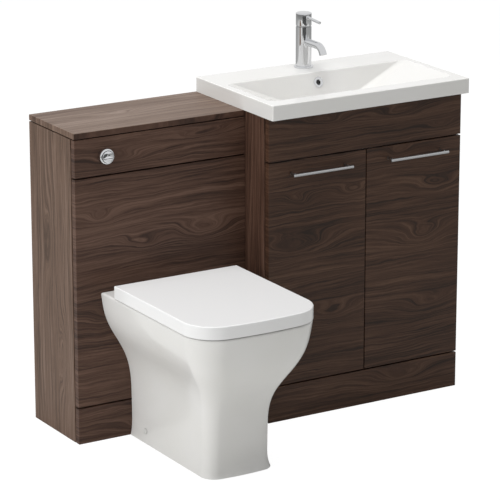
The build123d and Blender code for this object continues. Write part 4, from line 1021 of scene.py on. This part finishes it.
@dataclass
class BarHandle:
    """A drawn round bar on two turned posts with a fine groove where they meet the bar."""

    side: str
    centre: float
    bar_y: float = -0.389
    door_y: float = -0.361
    height: float = 0.672
    length: float = 0.183
    radius: float = 0.004
    bar_round: float = 0.0010
    post_inset: float = 0.009
    post_radius: float = 0.0034
    groove_radius: float = 0.0029
    groove_length: float = 0.0012
    groove_slope: float = 0.0006
    groove_round: float = 0.0003
    foot_height: float = 0.0004
    foot_chamfer: float = 0.0003
    foot_round: float = 0.0002

    def build(self, metal: Material) -> None:
        """Makes the bar and its posts as one piece.

        Args:
            metal: the satin aluminium.
        """
        start = Placement((self.centre - self.length / 2, self.bar_y, self.height), (1.0, 0.0, 0.0))
        bar = turned((
            (0.0, 0.0, 0), (self.radius, 0.0, self.bar_round),
            (self.radius, self.length, self.bar_round), (0.0, self.length, 0)), start, segments=48)
        skins = [bar]
        reach = self.door_y - self.bar_y
        groove = self.radius + self.groove_length
        for sign in (-1, 1):
            x = self.centre + sign * (self.length / 2 - self.post_inset)
            root = Placement((x, self.bar_y, self.height), (0.0, 1.0, 0.0))
            skins.append(turned((
                (0.0, 0.0, 0), (self.groove_radius, 0.0, 0), (self.groove_radius, groove, self.groove_round),
                (self.post_radius, groove + self.groove_slope, self.groove_round),
                (self.post_radius, reach - self.foot_height, self.foot_round),
                (self.post_radius - self.foot_chamfer, reach, 0), (0.0, reach, 0)), root, segments=48))
        fit(solid("bar_handle_" + self.side, skins), "door_" + self.side + "_leaf", "satin_aluminium", metal,
            "handle_" + self.side)


@dataclass
class BasinFittings:
    """The overflow's ring in the bowl's back wall, and the plug over the waste."""

    ring_seat: Point = (0.3, -0.125, 0.837)
    ring_normal: Point = (0.0, -0.938, 0.347)
    ring_outer: float = 0.014
    ring_inner: float = 0.0062
    ring_sleeve: float = 0.0077
    ring_lip: float = 0.002
    ring_depth: float = 0.009
    ring_round: float = 0.0011
    mouth_width: float = 0.0016
    mouth_depth: float = 0.0024
    mouth_round: float = 0.0010
    plug_centre: tuple[float, float] = (0.3, -0.231)
    plug_low: float = 0.775
    plug_radius: float = 0.029
    plug_height: float = 0.005
    plug_crown: float = 0.0012
    plug_round: float = 0.0018
    chamfer_width: float = 0.0015
    chamfer_height: float = 0.0012
    chamfer_round: float = 0.0004
    crown_share: float = 0.5
    drop_share: float = 0.2
    crown_round: float = 0.06
    stem_radius: float = 0.0035
    stem_length: float = 0.056
    stem_round: float = 0.0006

    def build(self, chrome: Material) -> None:
        """Makes the ring and the plug.

        Args:
            chrome: the polished chrome.
        """
        wall = Placement(self.ring_seat, self.ring_normal)
        ring = turned((
            (self.ring_inner, -self.ring_depth, 0), (self.ring_sleeve, -self.ring_depth, 0),
            (self.ring_sleeve, 0.0, 0), (self.ring_outer, 0.0, 0),
            (self.ring_outer, self.ring_lip, self.ring_round),
            (self.ring_inner + self.mouth_width, self.ring_lip, self.mouth_round),
            (self.ring_inner, self.ring_lip - self.mouth_depth, self.mouth_round),
            (self.ring_inner, -self.ring_depth, 0)), wall)
        fit(solid("overflow_rose", [ring]), "unit", "chrome", chrome, "overflow_ring")
        x, y = self.plug_centre
        seat = Placement((x, y, self.plug_low))
        plug = turned((
            (0.0, -self.stem_length, 0), (self.stem_radius, -self.stem_length, self.stem_round),
            (self.stem_radius, 0.0, 0), (self.plug_radius - self.chamfer_width, 0.0, 0),
            (self.plug_radius, self.chamfer_height, self.chamfer_round),
            (self.plug_radius, self.plug_height - self.plug_crown, self.plug_round),
            (self.crown_share * self.plug_radius, self.plug_height - self.drop_share * self.plug_crown,
             self.crown_round), (0.0, self.plug_height, 0)), seat)
        fit(solid("waste_plug_domed", [plug]), "plug", "chrome", chrome, "waste_plug")


@dataclass
class SoftStops:
    """The rubber stops under the seat and under the lid, and the caps over the pan's side screws.

    A stop reaches from one height to another. cap_rim is a share of the cap's height and a rounding, and
    cap_shoulder a share of its radius, a share of its height and a rounding.
    """

    spots: tuple[tuple[float, float], ...] = (
        (-0.402, -0.420), (-0.340, -0.730), (-0.098, -0.420), (-0.160, -0.730))
    radius: float = 0.007
    tip_share: float = 0.6
    swell_share: float = 0.3
    stop_round: float = 0.0015
    seat_stop: tuple[float, float] = (0.4003, 0.406)
    lid_stop: tuple[float, float] = (0.4243, 0.432)
    cap_y: float = -0.320
    cap_z: float = 0.032
    pan_x: float = -0.25
    cap_skin: float = 0.0958
    cap_radius: float = 0.008
    cap_height: float = 0.002
    cap_stem: float = 0.004
    cap_rim: tuple[float, float] = (0.35, 0.0002)
    cap_shoulder: Point = (0.75, 0.85, 0.004)
    stem_radius: float = 0.003

    def build(self, rubber: Material, plastic: Material) -> None:
        """Makes the stops and the caps.

        Args:
            rubber: the stops' rubber.
            plastic: the caps' plastic.
        """
        for name, body, node, (low, high) in (
            ("seat_stops", "seat_leaf", "seat_buffers", self.seat_stop),
            ("lid_stops", "lid_leaf", "lid_buffers", self.lid_stop),
        ):
            tall = high - low
            skins = [turned((
                (0.0, 0.0, 0), (self.tip_share * self.radius, 0.0, self.stop_round),
                (self.radius, self.swell_share * tall, self.stop_round), (self.radius, tall, 0),
                (0.0, tall, 0)), Placement((x, y, low)), segments=40) for x, y in self.spots]
            fit(solid(name, skins), body, "rubber", rubber, node)
        rim_share, rim_round = self.cap_rim
        wide_share, high_share, crown_round = self.cap_shoulder
        caps = [turned((
            (0.0, -self.cap_stem, 0), (self.stem_radius, -self.cap_stem, 0), (self.stem_radius, 0.0, 0),
            (self.cap_radius, 0.0, 0), (self.cap_radius, rim_share * self.cap_height, rim_round),
            (wide_share * self.cap_radius, high_share * self.cap_height, crown_round),
            (0.0, self.cap_height, 0)),
            Placement((self.pan_x + side * self.cap_skin, self.cap_y, self.cap_z), (float(side), 0.0, 0.0)),
            segments=48) for side in (-1, 1)]
        fit(solid("pan_side_caps", caps), "unit", "white_plastic", plastic, "pan_screw_caps")


def main() -> None:
    """Builds the scene in order."""
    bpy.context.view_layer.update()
    bpy.context.scene.view_settings.view_transform = "Standard"
    Studio().build()
    Cabinets().dress()
    PlainNodes().dress()
    glaze, moulding = GLAZE.material(), SEAT.material()
    Shell("basin", "basin_glazed", "unit", "ceramic").build(glaze)
    Shell("pan", "pan_glazed", "unit", "ceramic").build(glaze)
    Shell("seat", "seat_moulded", "seat_leaf", "seat_plastic").build(moulding)
    Shell("lid", "lid_moulded", "lid_leaf", "seat_plastic").build(moulding)
    chrome, metal = CHROME.material(), ALUMINIUM.material()
    FlushButton().build(chrome)
    BasinMixer().build(chrome)
    BasinFittings().build(chrome)
    BarHandle("left", centre=0.14975).build(metal)
    BarHandle("right", centre=0.45025).build(metal)
    SoftStops().build(RUBBER.material(), PLASTIC.material())


if __name__ == "__main__":
    main()
